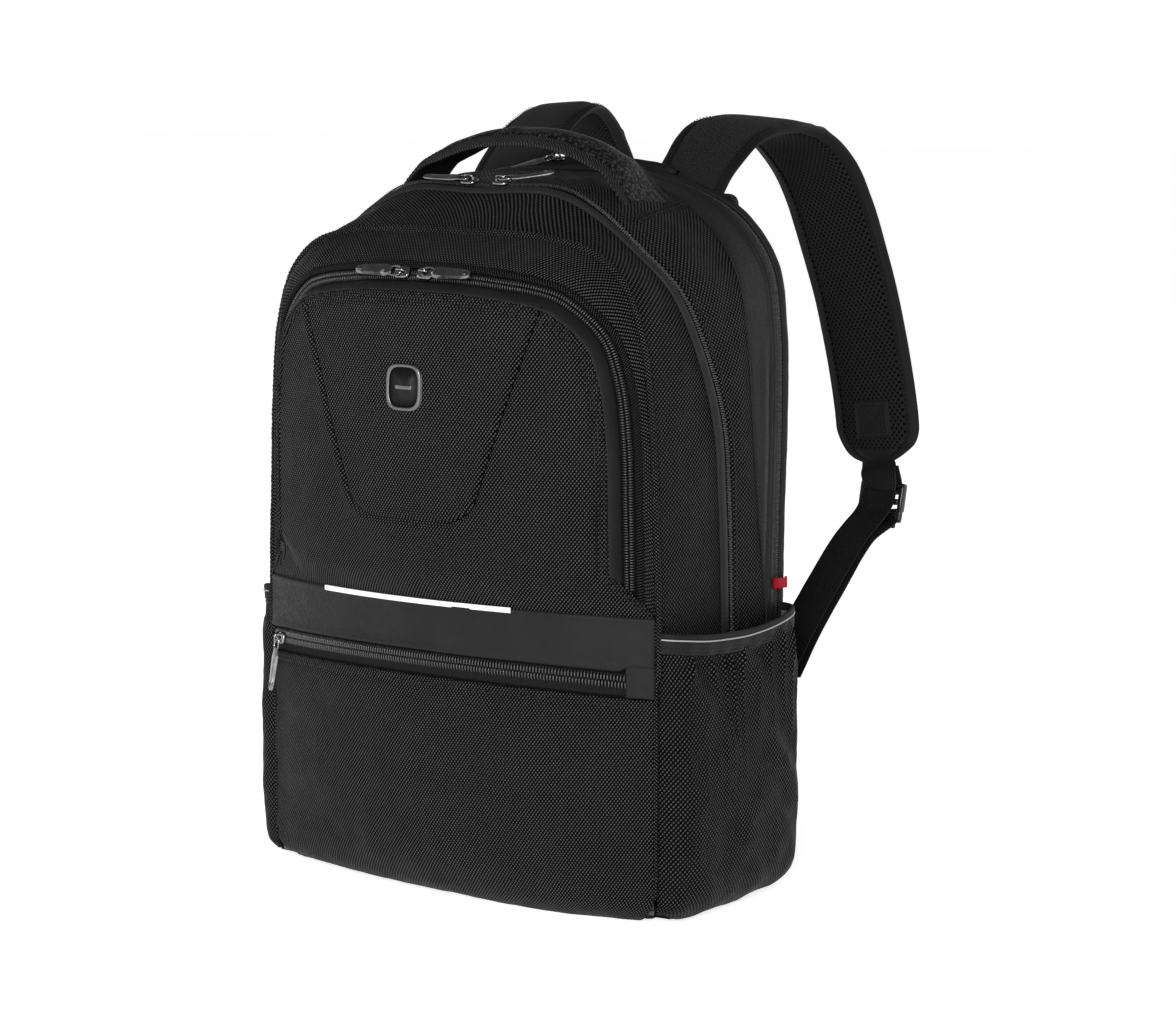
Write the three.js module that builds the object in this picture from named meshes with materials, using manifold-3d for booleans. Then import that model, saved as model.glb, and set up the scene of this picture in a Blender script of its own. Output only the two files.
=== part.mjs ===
// School backpack: soft pack with a hinged front section, a hinged pocket door, sliding zip pulls,
// a swinging grab handle and two shoulder straps. Millimetres, +Z up, front towards -Y,
// origin at the centre of the flat bottom.
import * as THREE from 'three';
import Module from 'manifold-3d';
import { mergeVertices } from 'three/addons/utils/BufferGeometryUtils.js';

const wasm = await Module();
wasm.setup();

// ---------------------------------------------------------------- driving dimensions
const HALF_WIDTH = 147; // bag half width at the side seams
const SEAM_Y = -78; // plane of the front side seams
const BACK_Y = 66; // outside of the back panel
const DECK_Z = 188; // where the opening front section starts
const WALL = 3; // lined and padded fabric wall
const GAP = 0.4; // clearance between neighbouring pieces
const ARC_R = 300; // plan radius of the bulging front
const BULGE = [[0, 26], [20, 35], [70, 41], [146, 38], [160, 38.5], [190, 43], [300, 46], [372, 43],
  [389, 40], [402, 25], [414, 8]];
const ARCH = [[0, 0], [60, 3], [146, 6], [192, 4], [206, 3], [230, 0], [500, 0]];
const MAIN_ZIP_GAP = 1.6; // between the two halves of the main zip
const POCKET_ZIP_GAP = 2.0;
const LOWER_ZIP_Z = 147; // at the side seams; the zip arches up between them
const TOP_STRAIGHT = 58; // straight half length of the main zip along the top
const HANDLE_HALF = 94;
const HANDLE_TOP = 469.5;
const HANDLE_Y = 3.5;
const STRAP_WIDTH = 62;
const STRAP_THICK = 9;
const WEB_WIDTH = 25;
const WEB_THICK = 1.6;

// Outlines of the upper body at four depths, right half from the deck to the centre of the top.
const KEYS_FRONT = [[146, -78, 188], [144, -78, 245], [142, -78, 300], [137, -78.5, 350],
  [125, -79.5, 385], [104, -81.5, 403], [72, -84, 411], [36, -85.6, 413], [0, -86, 413]];
const KEYS_ZIP = [[147, 5, 188], [148, 1, 245], [148, -6, 300], [146, -24, 345],
  [137, -36, 378], [112, -42, 404], [84, -45, 427], [TOP_STRAIGHT, -46, 439], [0, -46, 439]];
const KEYS_TRIM = [[148, 40, 188], [149, 30, 245], [149, 22, 300], [148, 15, 350],
  [143, 12, 384], [122, 17, 411], [88, 25, 432], [48, 30, 444], [0, 31, 446]];
const KEYS_BACK = [[146, 64, 188], [147, 64, 245], [149, 64, 300], [148, 64, 350],
  [142, 64, 391], [120, 64, 421], [86, 64, 438], [48, 64, 447], [0, 64, 449]];
// Centre line of the pocket zip; its depth follows the bulging front.
const KEYS_POCKET = [[133.5, 206], [133, 250], [132, 295], [128.5, 328], [119.5, 356], [97, 377],
  [80, 382.6], [56, 386], [36, 388], [0, 389]];

// Strap path on the right side: point, then half-width direction.
const STRAP_PATH = [
  [[72, 92, 454], [1, 0.05, 0]], [[72, 106, 464], [1, 0.1, -0.02]], [[72.5, 124, 471], [1, 0.2, -0.05]],
  [[75.5, 146, 473], [1, 0.3, -0.08]], [[79.5, 168, 469], [1, 0.33, -0.1]],
  [[83, 188, 459], [1, 0.3, -0.1]], [[86.5, 206, 442.5], [1, 0.2, -0.08]],
  [[89.5, 218, 422], [1, 0.12, -0.06]], [[96, 228, 388], [1, 0.08, 0]], [[102.5, 235, 354], [1, 0.06, 0]],
  [[109.5, 242, 306], [1, 0.05, 0.02]], [[113.3, 245, 272], [1, 0.05, 0.03]],
  [[114, 245, 254], [1, 0.05, 0.03]], [[115, 244.5, 245], [1, 0.05, 0.03]]];
const LOCK_AT = [120, 241, 219];
const WEB_PATH = [[120.6, 231.2, 214], [121.6, 199, 200], [124, 162, 173], [127, 126.6, 146],
  [129.5, 102, 126], [130.5, 92, 119]];

// ---------------------------------------------------------------- materials
const LOOKS = {
  weave: [0x1d1d1f, 0.85, 0], smooth: [0x303032, 0.75, 0], coil: [0x101011, 0.35, 0],
  metal: [0x6c6d70, 0.28, 1], reflective: [0xd9dadb, 0.4, 0], mesh: [0x18181a, 0.95, 0],
  lining: [0x4a4b4e, 0.9, 0], webbing: [0x161617, 0.7, 0], plastic: [0x131314, 0.3, 0],
  red: [0xb01020, 0.7, 0],
};

const pack = new THREE.Group();
pack.name = 'school_backpack';

function add(name, look, geometry) {
  const [color, roughness, metalness] = LOOKS[look];
  const mesh = new THREE.Mesh(geometry, new THREE.MeshStandardMaterial({ color, roughness, metalness }));
  mesh.name = name;
  pack.add(mesh);
}

// ---------------------------------------------------------------- small maths
const vec = (p) => new THREE.Vector3(p[0], p[1], p[2]);

function lerpTable(table, t) {
  if (t <= table[0][0]) return table[0][1];
  for (let i = 1; i < table.length; i += 1) {
    const [t0, a] = table[i - 1];
    const [t1, b] = table[i];
    if (t <= t1) return a + ((b - a) * (t - t0)) / (t1 - t0);
  }
  return table[table.length - 1][1];
}

const chordDrop = Math.sqrt(ARC_R ** 2 - HALF_WIDTH ** 2);
function crown(x) {
  return Math.max(0, (Math.sqrt(ARC_R ** 2 - x * x) - chordDrop) / (ARC_R - chordDrop));
}
const frontY = (x, z) => SEAM_Y - lerpTable(BULGE, z) * crown(x);
const archedZ = (x, z) => z + lerpTable(ARCH, z) * crown(x);

// ---------------------------------------------------------------- solid helpers
function fromArrays(points, faces) {
  let volume = 0;
  const a = new THREE.Vector3();
  for (const [i, j, k] of faces) volume += a.crossVectors(points[j], points[k]).dot(points[i]);
  const positions = new Float32Array(points.length * 3);
  points.forEach((p, i) => positions.set([p.x, p.y, p.z], i * 3));
  const index = [];
  for (const [i, j, k] of faces) index.push(...(volume < 0 ? [i, k, j] : [i, j, k]));
  const geometry = new THREE.BufferGeometry();
  geometry.setAttribute('position', new THREE.BufferAttribute(positions, 3));
  geometry.setIndex(index);
  return geometry;
}

// Closed solid through rings with equal point counts, capped at both ends.
function loft(rings) {
  const n = rings[0].length;
  const points = rings.flat();
  const faces = [];
  for (let r = 0; r + 1 < rings.length; r += 1) {
    for (let i = 0; i < n; i += 1) {
      const a = r * n + i;
      const b = r * n + ((i + 1) % n);
      faces.push([a, b, b + n], [a, b + n, a + n]);
    }
  }
  for (const [start, flip] of [[0, true], [(rings.length - 1) * n, false]]) {
    const centre = new THREE.Vector3();
    for (let i = 0; i < n; i += 1) centre.addScaledVector(points[start + i], 1 / n);
    points.push(centre);
    const c = points.length - 1;
    for (let i = 0; i < n; i += 1) {
      const a = start + i;
      const b = start + ((i + 1) % n);
      faces.push(flip ? [c, b, a] : [c, a, b]);
    }
  }
  return fromArrays(points, faces);
}

function toManifold(geometry) {
  const clean = geometry.clone();
  clean.deleteAttribute('normal');
  clean.deleteAttribute('uv');
  const merged = mergeVertices(clean, 1e-4);
  const mesh = new wasm.Mesh({
    numProp: 3,
    vertProperties: new Float32Array(merged.attributes.position.array),
    triVerts: new Uint32Array(merged.index.array),
  });
  mesh.merge();
  return new wasm.Manifold(mesh);
}

function fromManifold(solid) {
  const mesh = solid.getMesh();
  const geometry = new THREE.BufferGeometry();
  geometry.setAttribute('position', new THREE.BufferAttribute(new Float32Array(mesh.vertProperties), 3));
  geometry.setIndex(Array.from(mesh.triVerts));
  return geometry;
}

const minus = (a, ...cutters) => fromManifold(cutters.reduce((s, c) => s.subtract(toManifold(c)),
  toManifold(a)));
const common = (a, b) => fromManifold(toManifold(a).intersect(toManifold(b)));
const union = (a, ...others) => fromManifold(others.reduce((s, o) => s.add(toManifold(o)), toManifold(a)));

function box(x0, x1, y0, y1, z0, z1) {
  const geometry = new THREE.BoxGeometry(x1 - x0, y1 - y0, z1 - z0);
  geometry.translate((x0 + x1) / 2, (y0 + y1) / 2, (z0 + z1) / 2);
  return geometry;
}

// Prism along Y of an outline in the XZ plane, with optional holes.
function prismY(outline, y0, y1, holes = []) {
  const shape = new THREE.Shape(outline.map(([x, z]) => new THREE.Vector2(x, z)));
  for (const hole of holes) shape.holes.push(new THREE.Path(hole.map(([x, z]) => new THREE.Vector2(x, z))));
  const geometry = new THREE.ExtrudeGeometry(shape, { depth: y1 - y0, bevelEnabled: false, steps: 1 });
  geometry.rotateX(Math.PI / 2);
  geometry.translate(0, y1, 0);
  return geometry;
}

function roundedRect(x0, x1, z0, z1, r, steps = 4) {
  const out = [];
  for (const [cx, cz, start] of [[x1 - r, z0 + r, -90], [x1 - r, z1 - r, 0], [x0 + r, z1 - r, 90],
    [x0 + r, z0 + r, 180]]) {
    for (let i = 0; i <= steps; i += 1) {
      const a = THREE.MathUtils.degToRad(start + (90 * i) / steps);
      out.push([cx + r * Math.cos(a), cz + r * Math.sin(a)]);
    }
  }
  return out;
}

const mirrorX = (geometry) => {
  const copy = geometry.clone();
  copy.scale(-1, 1, 1);
  const index = copy.index ? Array.from(copy.index.array) : [...copy.attributes.position.array.keys()]
    .slice(0, copy.attributes.position.count);
  for (let i = 0; i < index.length; i += 3) [index[i + 1], index[i + 2]] = [index[i + 2], index[i + 1]];
  copy.setIndex(index);
  return copy;
};

function pair(base, look, geometry) {
  add(`${base}_right`, look, geometry);
  add(`${base}_left`, look, mirrorX(geometry));
}

// ---------------------------------------------------------------- upper body hoops
const HALF_STATIONS = 14;

function hoopLine(keys) {
  const curve = new THREE.CatmullRomCurve3(keys.map(vec), false, 'centripetal');
  const segments = keys.length - 1;
  const half = [];
  for (let i = 0; i <= HALF_STATIONS; i += 1) {
    half.push(curve.getPoint(((i / HALF_STATIONS) * segments) / segments));
  }
  const left = half.slice(0, -1).map((p) => new THREE.Vector3(-p.x, p.y, p.z)).reverse();
  return [...half, ...left];
}
const LINE = {
  front: hoopLine(KEYS_FRONT), zip: hoopLine(KEYS_ZIP), trim: hoopLine(KEYS_TRIM), back: hoopLine(KEYS_BACK),
};
const STATIONS = LINE.front.length;

function skinPoint(i, y) {
  const stops = [LINE.front[i], LINE.zip[i], LINE.trim[i], LINE.back[i]];
  if (y <= stops[0].y) return new THREE.Vector3(stops[0].x, y, stops[0].z);
  for (let k = 1; k < stops.length; k += 1) {
    if (y <= stops[k].y) {
      return stops[k - 1].clone().lerp(stops[k], (y - stops[k - 1].y) / (stops[k].y - stops[k - 1].y));
    }
  }
  return new THREE.Vector3(stops[3].x, y, stops[3].z);
}

// Wall of the upper body between two depths; each depth is a function of the station.
function hoop(depthA, depthB, thickness = WALL, raise = 0, steps = 1) {
  const rings = [];
  for (let i = 0; i < STATIONS; i += 1) {
    const outer = [];
    const inner = [];
    for (let k = 0; k <= steps; k += 1) {
      const y = depthA(i) + ((depthB(i) - depthA(i)) * k) / steps;
      const before = skinPoint(Math.max(0, i - 1), y);
      const after = skinPoint(Math.min(STATIONS - 1, i + 1), y);
      const inward = new THREE.Vector3(-(after.z - before.z), 0, after.x - before.x).normalize();
      if (i === 0 || i === STATIONS - 1) inward.set(Math.sign(inward.x), 0, 0);
      const p = skinPoint(i, y);
      outer.push(p.clone().addScaledVector(inward, -raise));
      inner.unshift(p.clone().addScaledVector(inward, thickness));
    }
    rings.push([...outer, ...inner]);
  }
  return loft(rings);
}

const at = (line, offset) => (i) => LINE[line][i].y + offset;

function bodyHoops() {
  add('front_gusset', 'weave', hoop(at('front', 2.2), at('zip', -7.8 - MAIN_ZIP_GAP / 2)));
  add('main_zip_front', 'coil', hoop(at('zip', -7.4 - MAIN_ZIP_GAP / 2), at('zip', -MAIN_ZIP_GAP / 2)));
  add('main_zip_rear', 'coil', hoop(at('zip', MAIN_ZIP_GAP / 2), at('zip', 4.8)));
  add('rear_gusset', 'weave', hoop(at('zip', 5.2), at('trim', -0.2)));
  add('laptop_trim', 'smooth', hoop(at('trim', 0.2), () => 52.8));
  add('laptop_zip', 'coil', hoop(() => 53.2, () => 58.8, WALL, 0));
  add('front_piping', 'smooth', hoop(at('front', -1.6), at('front', 1.8), 1.4, 1.4));
}

// ---------------------------------------------------------------- bulging front
const GRID_X = 22;
function frontSlab(zs, halfWidth, offsetOut, offsetIn) {
  const points = [];
  const faces = [];
  const columns = GRID_X + 1;
  for (const offset of [offsetOut, offsetIn]) {
    for (const z of zs) {
      for (let i = 0; i <= GRID_X; i += 1) {
        const x = -halfWidth + (2 * halfWidth * i) / GRID_X;
        points.push(new THREE.Vector3(x, frontY(x, z) + offset, archedZ(x, z)));
      }
    }
  }
  const layer = zs.length * columns;
  const id = (l, r, c) => l * layer + r * columns + c;
  for (let r = 0; r + 1 < zs.length; r += 1) {
    for (let c = 0; c < GRID_X; c += 1) {
      faces.push([id(0, r, c), id(0, r, c + 1), id(0, r + 1, c + 1)],
        [id(0, r, c), id(0, r + 1, c + 1), id(0, r + 1, c)]);
      faces.push([id(1, r, c), id(1, r + 1, c + 1), id(1, r, c + 1)],
        [id(1, r, c), id(1, r + 1, c), id(1, r + 1, c + 1)]);
    }
  }
  const rim = [];
  for (let c = 0; c < GRID_X; c += 1) rim.push([0, c]);
  for (let r = 0; r < zs.length - 1; r += 1) rim.push([r, GRID_X]);
  for (let c = GRID_X; c > 0; c -= 1) rim.push([zs.length - 1, c]);
  for (let r = zs.length - 1; r > 0; r -= 1) rim.push([r, 0]);
  rim.forEach(([r, c], k) => {
    const [r2, c2] = rim[(k + 1) % rim.length];
    faces.push([id(0, r, c), id(1, r, c), id(1, r2, c2)], [id(0, r, c), id(1, r2, c2), id(0, r2, c2)]);
  });
  return fromArrays(points, faces);
}

// Curved strip across the front between two heights.
const frontStrip = (x0, x1, z0, z1, offsetOut, offsetIn, steps = 18) => {
  const rings = [];
  for (let i = 0; i <= steps; i += 1) {
    const x = x0 + ((x1 - x0) * i) / steps;
    rings.push([[z0, offsetOut], [z1, offsetOut], [z1, offsetIn], [z0, offsetIn]]
      .map(([z, off]) => new THREE.Vector3(x, frontY(x, z) + off, archedZ(x, z))));
  }
  return loft(rings);
};

function pocketOutline(grow, bottom) {
  const curve = new THREE.CatmullRomCurve3(KEYS_POCKET.map(([x, z]) => new THREE.Vector3(x, 0, z)),
    false, 'centripetal');
  const half = curve.getPoints(20);
  const line = [...half, ...half.slice(0, -1).map((p) => new THREE.Vector3(-p.x, 0, p.z)).reverse()];
  const out = line.map((p, i) => {
    const before = line[Math.max(0, i - 1)];
    const after = line[Math.min(line.length - 1, i + 1)];
    const normal = new THREE.Vector2(after.z - before.z, -(after.x - before.x)).normalize();
    return [p.x + normal.x * grow, p.z + normal.y * grow];
  });
  out[0][1] = bottom;
  out[out.length - 1][1] = bottom;
  return out;
}

function frontOutline(inset) {
  const out = LINE.front.map((p, i) => {
    const before = LINE.front[Math.max(0, i - 1)];
    const after = LINE.front[Math.min(STATIONS - 1, i + 1)];
    const normal = new THREE.Vector2(after.z - before.z, -(after.x - before.x)).normalize();
    return [p.x - normal.x * inset, p.z - normal.y * inset];
  });
  return out;
}

const FACE_LEVELS = [196, 206, 225, 255, 285, 315, 342, 360, 372, 380, 385, 389, 393, 397, 402, 407, 414];

function frontPieces() {
  const skin = frontSlab(FACE_LEVELS, 146.4, 0, 2.6);
  const low = 206.6;
  const ringCut = (outer, inner) => prismY(outer, -160, -60, inner ? [inner] : []);
  const frameOut = frontOutline(2.2);
  frameOut[0][1] = low;
  frameOut[frameOut.length - 1][1] = low;
  const frame = minus(common(skin, ringCut(frameOut)), ringCut(pocketOutline(4.2, low - 20)));
  const sill = frontStrip(-142.4, 142.4, DECK_Z + 0.5, 203, 0, 2.6);
  const corner = (x0, x1) => frontStrip(x0, x1, 202, 208, 0, 2.6, 2);
  add('front_frame', 'weave', union(frame, sill, corner(141.3, 142.4), corner(-142.4, -141.3)));
  const zipOuter = minus(common(skin, ringCut(pocketOutline(3.8, low))),
    ringCut(pocketOutline(POCKET_ZIP_GAP / 2, low - 20)));
  add('pocket_zip_frame', 'coil', zipOuter);
  const zipInner = minus(common(skin, ringCut(pocketOutline(-POCKET_ZIP_GAP / 2, low))),
    ringCut(pocketOutline(-3.8, low - 20)));
  add('pocket_zip_door', 'coil', zipInner);
  const strip = minus(common(skin, ringCut(pocketOutline(-4.2, low))),
    ringCut(pocketOutline(-13, low - 20)));
  add('door_edge_strip', 'smooth', strip);
  add('pocket_door', 'weave', common(skin, ringCut(pocketOutline(-13.4, low))));
  add('front_pocket_floor', 'lining', floorPanel());
  const inner = frontOutline(9);
  inner[0][1] = 192;
  inner[inner.length - 1][1] = 192;
  add('front_inner_panel', 'lining', prismY(inner, -77.9, -76.2));
  const organiser = minus(box(-112, 112, -75.8, -64, 212, 318), box(-110, 110, -74.2, -65.6, 214, 340));
  add('organiser_pocket', 'lining', organiser);
  add('badge', 'metal', badge());
}

// Flat floor of the front pocket, just above the deck.
function floorPanel() {
  const z = DECK_Z + 8;
  const outline = [];
  for (let i = 0; i <= 12; i += 1) {
    const x = -136 + (272 * i) / 12;
    outline.push([x, Math.min(frontY(x, z) + 4.5, -79)]);
  }
  const rings = outline.map(([x, y]) => [[y, z], [-78.4, z], [-78.4, z + 1.6], [y, z + 1.6]]
    .map(([py, pz]) => new THREE.Vector3(x, py, pz)));
  return loft(rings);
}

// Plain rounded metal plate with a raised rim.
function badge() {
  const plate = (w, h, r, y0, y1) => prismY(roundedRect(-w, w, 322 - h, 322 + h, r, 5), y0, y1);
  const base = plate(13, 14, 5.5, frontY(0, 322) - 2.4, frontY(0, 322) - 0.4);
  return minus(base, plate(10.6, 11.6, 3.6, frontY(0, 322) - 4, frontY(0, 322) - 1.6));
}

function lowerFront() {
  const levels = [5, 12, 24, 45, 70, 100, 125, 142.6];
  add('lower_pocket_panel', 'weave', frontSlab(levels, 146.4, 0, 2.6));
  add('lower_zip', 'coil', frontStrip(-141, 131, 143.2, 151.2, 0, 2.6));
  add('zip_end_tab', 'smooth', frontStrip(131.5, 146, 143.2, 159, 0, 2.6, 3));
  add('front_band', 'smooth', union(frontStrip(-146, 146, 159.6, DECK_Z - 0.4, 0, 2.6),
    frontStrip(-146, 131, 151.6, 160, 0, 2.6)));
  add('reflective_strip', 'reflective', frontStrip(-74, 72, DECK_Z - 4.4, DECK_Z - 1, -1, -0.4, 12));
}

// ---------------------------------------------------------------- lower body
function bodyRing(z, inset, front, back) {
  const r = 16;
  const xs = HALF_WIDTH - 1 - inset;
  return roundedRect(-xs, xs, front + inset, back - inset, Math.max(r - inset, 4), 4)
    .map(([x, y]) => new THREE.Vector3(x, y, z));
}

function lowerBody() {
  add('base_panel', 'weave', baseSlab());
  const front = SEAM_Y + 3.4;
  const outer = loft([[3.4, 16], [8, 8], [14, 3], [24, 0], [DECK_Z - 0.4, 0]]
    .map(([z, inset]) => bodyRing(z, inset, front, 57.6)));
  const inner = loft([[6.6, 16], [10, 10], [17, 5.5], [26, 3], [DECK_Z + 20, 3]]
    .map(([z, inset]) => bodyRing(z, inset, front, 57.6)));
  add('lower_shell', 'weave', minus(outer, inner));
}

function baseSlab() {
  const ring = (z, inset) => {
    const out = [];
    for (let i = 0; i <= 12; i += 1) {
      const x = -(134 - inset) + ((268 - 2 * inset) * i) / 12;
      out.push(new THREE.Vector3(x, frontY(x, 0) + 6 + inset, z));
    }
    out.push(new THREE.Vector3(138 - inset, -66, z), new THREE.Vector3(138 - inset, 52, z),
      new THREE.Vector3(126 - inset, 62 - inset, z), new THREE.Vector3(-126 + inset, 62 - inset, z),
      new THREE.Vector3(-138 + inset, 52, z), new THREE.Vector3(-138 + inset, -66, z));
    return out;
  };
  return loft([ring(0, 2), ring(1.5, 0), ring(3, 0)]);
}

function backPieces() {
  const outline = (inset) => {
    const top = LINE.back.map((p, i) => {
      const before = LINE.back[Math.max(0, i - 1)];
      const after = LINE.back[Math.min(STATIONS - 1, i + 1)];
      const n = new THREE.Vector2(after.z - before.z, -(after.x - before.x)).normalize();
      return [p.x - n.x * inset, p.z - n.y * inset];
    });
    const bottom = [[-146, 24], [-138, 10], [-122, 4]].map(([x, z]) => [x + inset, z + inset * 0.5]);
    return [...top, ...bottom, ...bottom.map(([x, z]) => [-x, z]).reverse()];
  };
  add('back_panel', 'weave', prismY(outline(WALL + 0.6), 59.2, BACK_Y - 0.6));
  const binding = prismY(outline(0), 59.2, BACK_Y, [outline(WALL)]);
  add('back_binding', 'smooth', binding);
  const pad = (x0, x1, z0, z1) => {
    const ring = (y, inset) => roundedRect(x0 + inset, x1 - inset, z0 + inset, z1 - inset, 18 - inset, 3)
      .map(([x, z]) => new THREE.Vector3(x, y, z));
    return loft([ring(BACK_Y, 0), ring(BACK_Y + 8, 1), ring(BACK_Y + 12, 7)]);
  };
  pair('back_pad', 'mesh', pad(12, 118, 150, 396));
  add('lumbar_pad', 'mesh', pad(-114, 114, 22, 138));
  const divider = [...roundedRect(-136, 136, 12, 400, 30, 4)].map(([x, z]) => (z > 380
    ? [x * 0.86, z] : [x, z]));
  add('padded_divider', 'lining', prismY(divider, 29, 35));
  const base = (x0, x1) => loft([[66, 436, 6], [71, 440, 6], [77, 445, 5]].map(([y, z, h]) => [
    new THREE.Vector3(x0, y, z - h), new THREE.Vector3(x1, y, z - h),
    new THREE.Vector3(x1, y, z), new THREE.Vector3(x0, y, z)]));
  const bar = prismY(roundedRect(-112, 112, 404, 432, 8, 3), BACK_Y, BACK_Y + 5);
  add('strap_yoke', 'smooth', union(bar, base(44, 100), base(-100, -44)));
  const tab = prismY([[119, 97], [142, 103], [143, 120], [119, 128]], BACK_Y + 0.2, BACK_Y + 6);
  pair('webbing_anchor', 'webbing', tab);
  add('red_tab', 'red', box(149.6, 151.4, 47, 62, 189, 195.5));
}

// ---------------------------------------------------------------- side pockets
const POCKET_FRONT = -70;
const POCKET_BACK = 62;
const POCKET_DEPTH = 23;
function sideBulge(y, z, depth) {
  const t = (2 * (y - POCKET_FRONT)) / (POCKET_BACK - POCKET_FRONT) - 1;
  const round = Math.cbrt(Math.max(0, 1 - Math.abs(t) ** 6));
  const height = lerpTable([[3, 0.5], [14, 0.85], [35, 1], [70, 1], [110, 0.97], [150, 0.82], [176, 0.62]], z);
  return depth * round * height;
}

function pocketRing(z, inset, depth, wall) {
  const inner = HALF_WIDTH - 0.4 + wall;
  const ring = [];
  const y0 = POCKET_FRONT + inset;
  const y1 = POCKET_BACK - inset;
  for (let i = 0; i <= 12; i += 1) {
    const y = y0 + ((y1 - y0) * i) / 12;
    ring.push(new THREE.Vector3(inner + 0.3 + Math.max(0, sideBulge(y, z, depth) - inset), y, z));
  }
  ring.push(new THREE.Vector3(inner, y1, z), new THREE.Vector3(inner, y0, z));
  return ring;
}

const rimZ = (y) => lerpTable([[-81, 181], [-47, 175.5], [-5, 172.5], [25, 173.5], [55, 177], [67, 179]], y);

function sidePockets() {
  const outer = loft([4, 12, 22, 40, 70, 110, 140, 163].map((z) => pocketRing(z, 0, POCKET_DEPTH, 0)));
  const inner = loft([9, 16, 26, 42, 70, 110, 140, 175].map((z) => pocketRing(z, 1.8, POCKET_DEPTH, 0.8)));
  pair('side_pocket', 'weave', minus(outer, inner));
  const strip = (low, high, out, depthIn) => {
    const rings = [];
    for (let i = 0; i <= 16; i += 1) {
      const y = POCKET_FRONT + ((POCKET_BACK - POCKET_FRONT) * i) / 16;
      const x = HALF_WIDTH + 0.4 + sideBulge(y, 168, POCKET_DEPTH);
      rings.push([[out, low], [out, high], [-depthIn, high], [-depthIn, low]]
        .map(([dx, dz]) => new THREE.Vector3(x + dx, y, rimZ(y) + dz)));
    }
    return loft(rings);
  };
  pair('side_pocket_band', 'smooth', strip(-9, 0, 1.4, 0.2));
}

// ---------------------------------------------------------------- handle
function slabRing(centre, across, normal, halfWidth, halfThick, bevel) {
  const b = Math.min(bevel, halfThick * 0.95, halfWidth * 0.9);
  return [[-halfWidth, -halfThick + b], [-halfWidth + b, -halfThick], [halfWidth - b, -halfThick],
    [halfWidth, -halfThick + b], [halfWidth, halfThick - b], [halfWidth - b, halfThick],
    [-halfWidth + b, halfThick], [-halfWidth, halfThick - b]]
    .map(([a, n]) => centre.clone().addScaledVector(across, a).addScaledVector(normal, n));
}

function handleHeight(x) {
  const t = Math.abs(x) / HANDLE_HALF;
  return HANDLE_TOP - (HANDLE_TOP - 433.8) * t ** 2.3;
}

function handlePieces() {
  const rings = [];
  const across = new THREE.Vector3(0, 1, 0);
  for (let i = 0; i <= 20; i += 1) {
    const x = -HANDLE_HALF + (2 * HANDLE_HALF * i) / 20;
    const slope = (handleHeight(x + 0.5) - handleHeight(x - 0.5));
    const normal = new THREE.Vector3(-slope, 0, 1).normalize();
    const end = HANDLE_HALF - Math.abs(x);
    const half = lerpTable([[0, 3.4], [10, 12.4], [22, 16], [94, 15]], end);
    rings.push(slabRing(new THREE.Vector3(x, HANDLE_Y, handleHeight(x)), across, normal, half, 5.2, 3));
  }
  add('handle', 'weave', loft(rings));
  const patch = [];
  for (let i = 0; i <= 4; i += 1) {
    const x = 88 + 5 * i;
    const surface = (y) => 454.5 - 0.35 * x + (y - 3.5) * 0.12;
    patch.push([[-12, 0], [20, 0], [20, 1.6], [-12, 1.6]]
      .map(([y, dz]) => new THREE.Vector3(x, y, surface(y) - 0.0032 * (x - 88) ** 2 * 8 + dz)));
  }
  pair('handle_base', 'smooth', loft(patch));
}

// ---------------------------------------------------------------- shoulder straps
function strapPad() {
  const curve = new THREE.CatmullRomCurve3(STRAP_PATH.map(([p]) => vec(p)), false, 'centripetal');
  const steps = 26;
  const rings = [];
  for (let i = 0; i <= steps; i += 1) {
    const t = i / steps;
    const k = Math.min(STRAP_PATH.length - 2, Math.floor(t * (STRAP_PATH.length - 1)));
    const f = t * (STRAP_PATH.length - 1) - k;
    const side = vec(STRAP_PATH[k][1]).lerp(vec(STRAP_PATH[k + 1][1]), f).normalize();
    const tangent = curve.getTangent(t);
    side.addScaledVector(tangent, -side.dot(tangent)).normalize();
    const normal = new THREE.Vector3().crossVectors(tangent, side);
    const half = (STRAP_WIDTH / 2) * lerpTable([[0, 0.86], [0.12, 1], [0.86, 1], [0.95, 0.86], [1, 0.5]], t);
    const thick = (STRAP_THICK / 2) * lerpTable([[0, 0.7], [0.1, 1], [0.9, 1], [1, 0.6]], t);
    rings.push(slabRing(curve.getPoint(t), side, normal, half, thick, 3));
  }
  return loft(rings);
}

function ladderLock() {
  const [x, y, z] = LOCK_AT;
  const frame = box(-19, 19, -3, 3, -12, 12);
  const parts = minus(frame, box(-13.5, 13.5, -5, 5, 2.5, 8.5), box(-13.5, 13.5, -5, 5, -7.5, -1.5));
  const grip = box(-16, 16, -3.2, 1.5, -15.5, -11.5);
  const lock = union(parts, grip);
  lock.rotateX(THREE.MathUtils.degToRad(-14));
  lock.translate(x, y, z);
  return lock;
}

function strapTongue() {
  const top = new THREE.Vector3(115.3, 244.6, 250);
  const low = new THREE.Vector3(118, 244.4, 233.2);
  const ring = (p, half, thick) => slabRing(p, new THREE.Vector3(1, 0.05, 0), new THREE.Vector3(0, 1, 0.1),
    half, thick, 0.8);
  return loft([ring(top, 12, 1.6), ring(top.clone().lerp(low, 0.5), 12.5, 1.2), ring(low, 12.5, 1)]);
}

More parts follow.
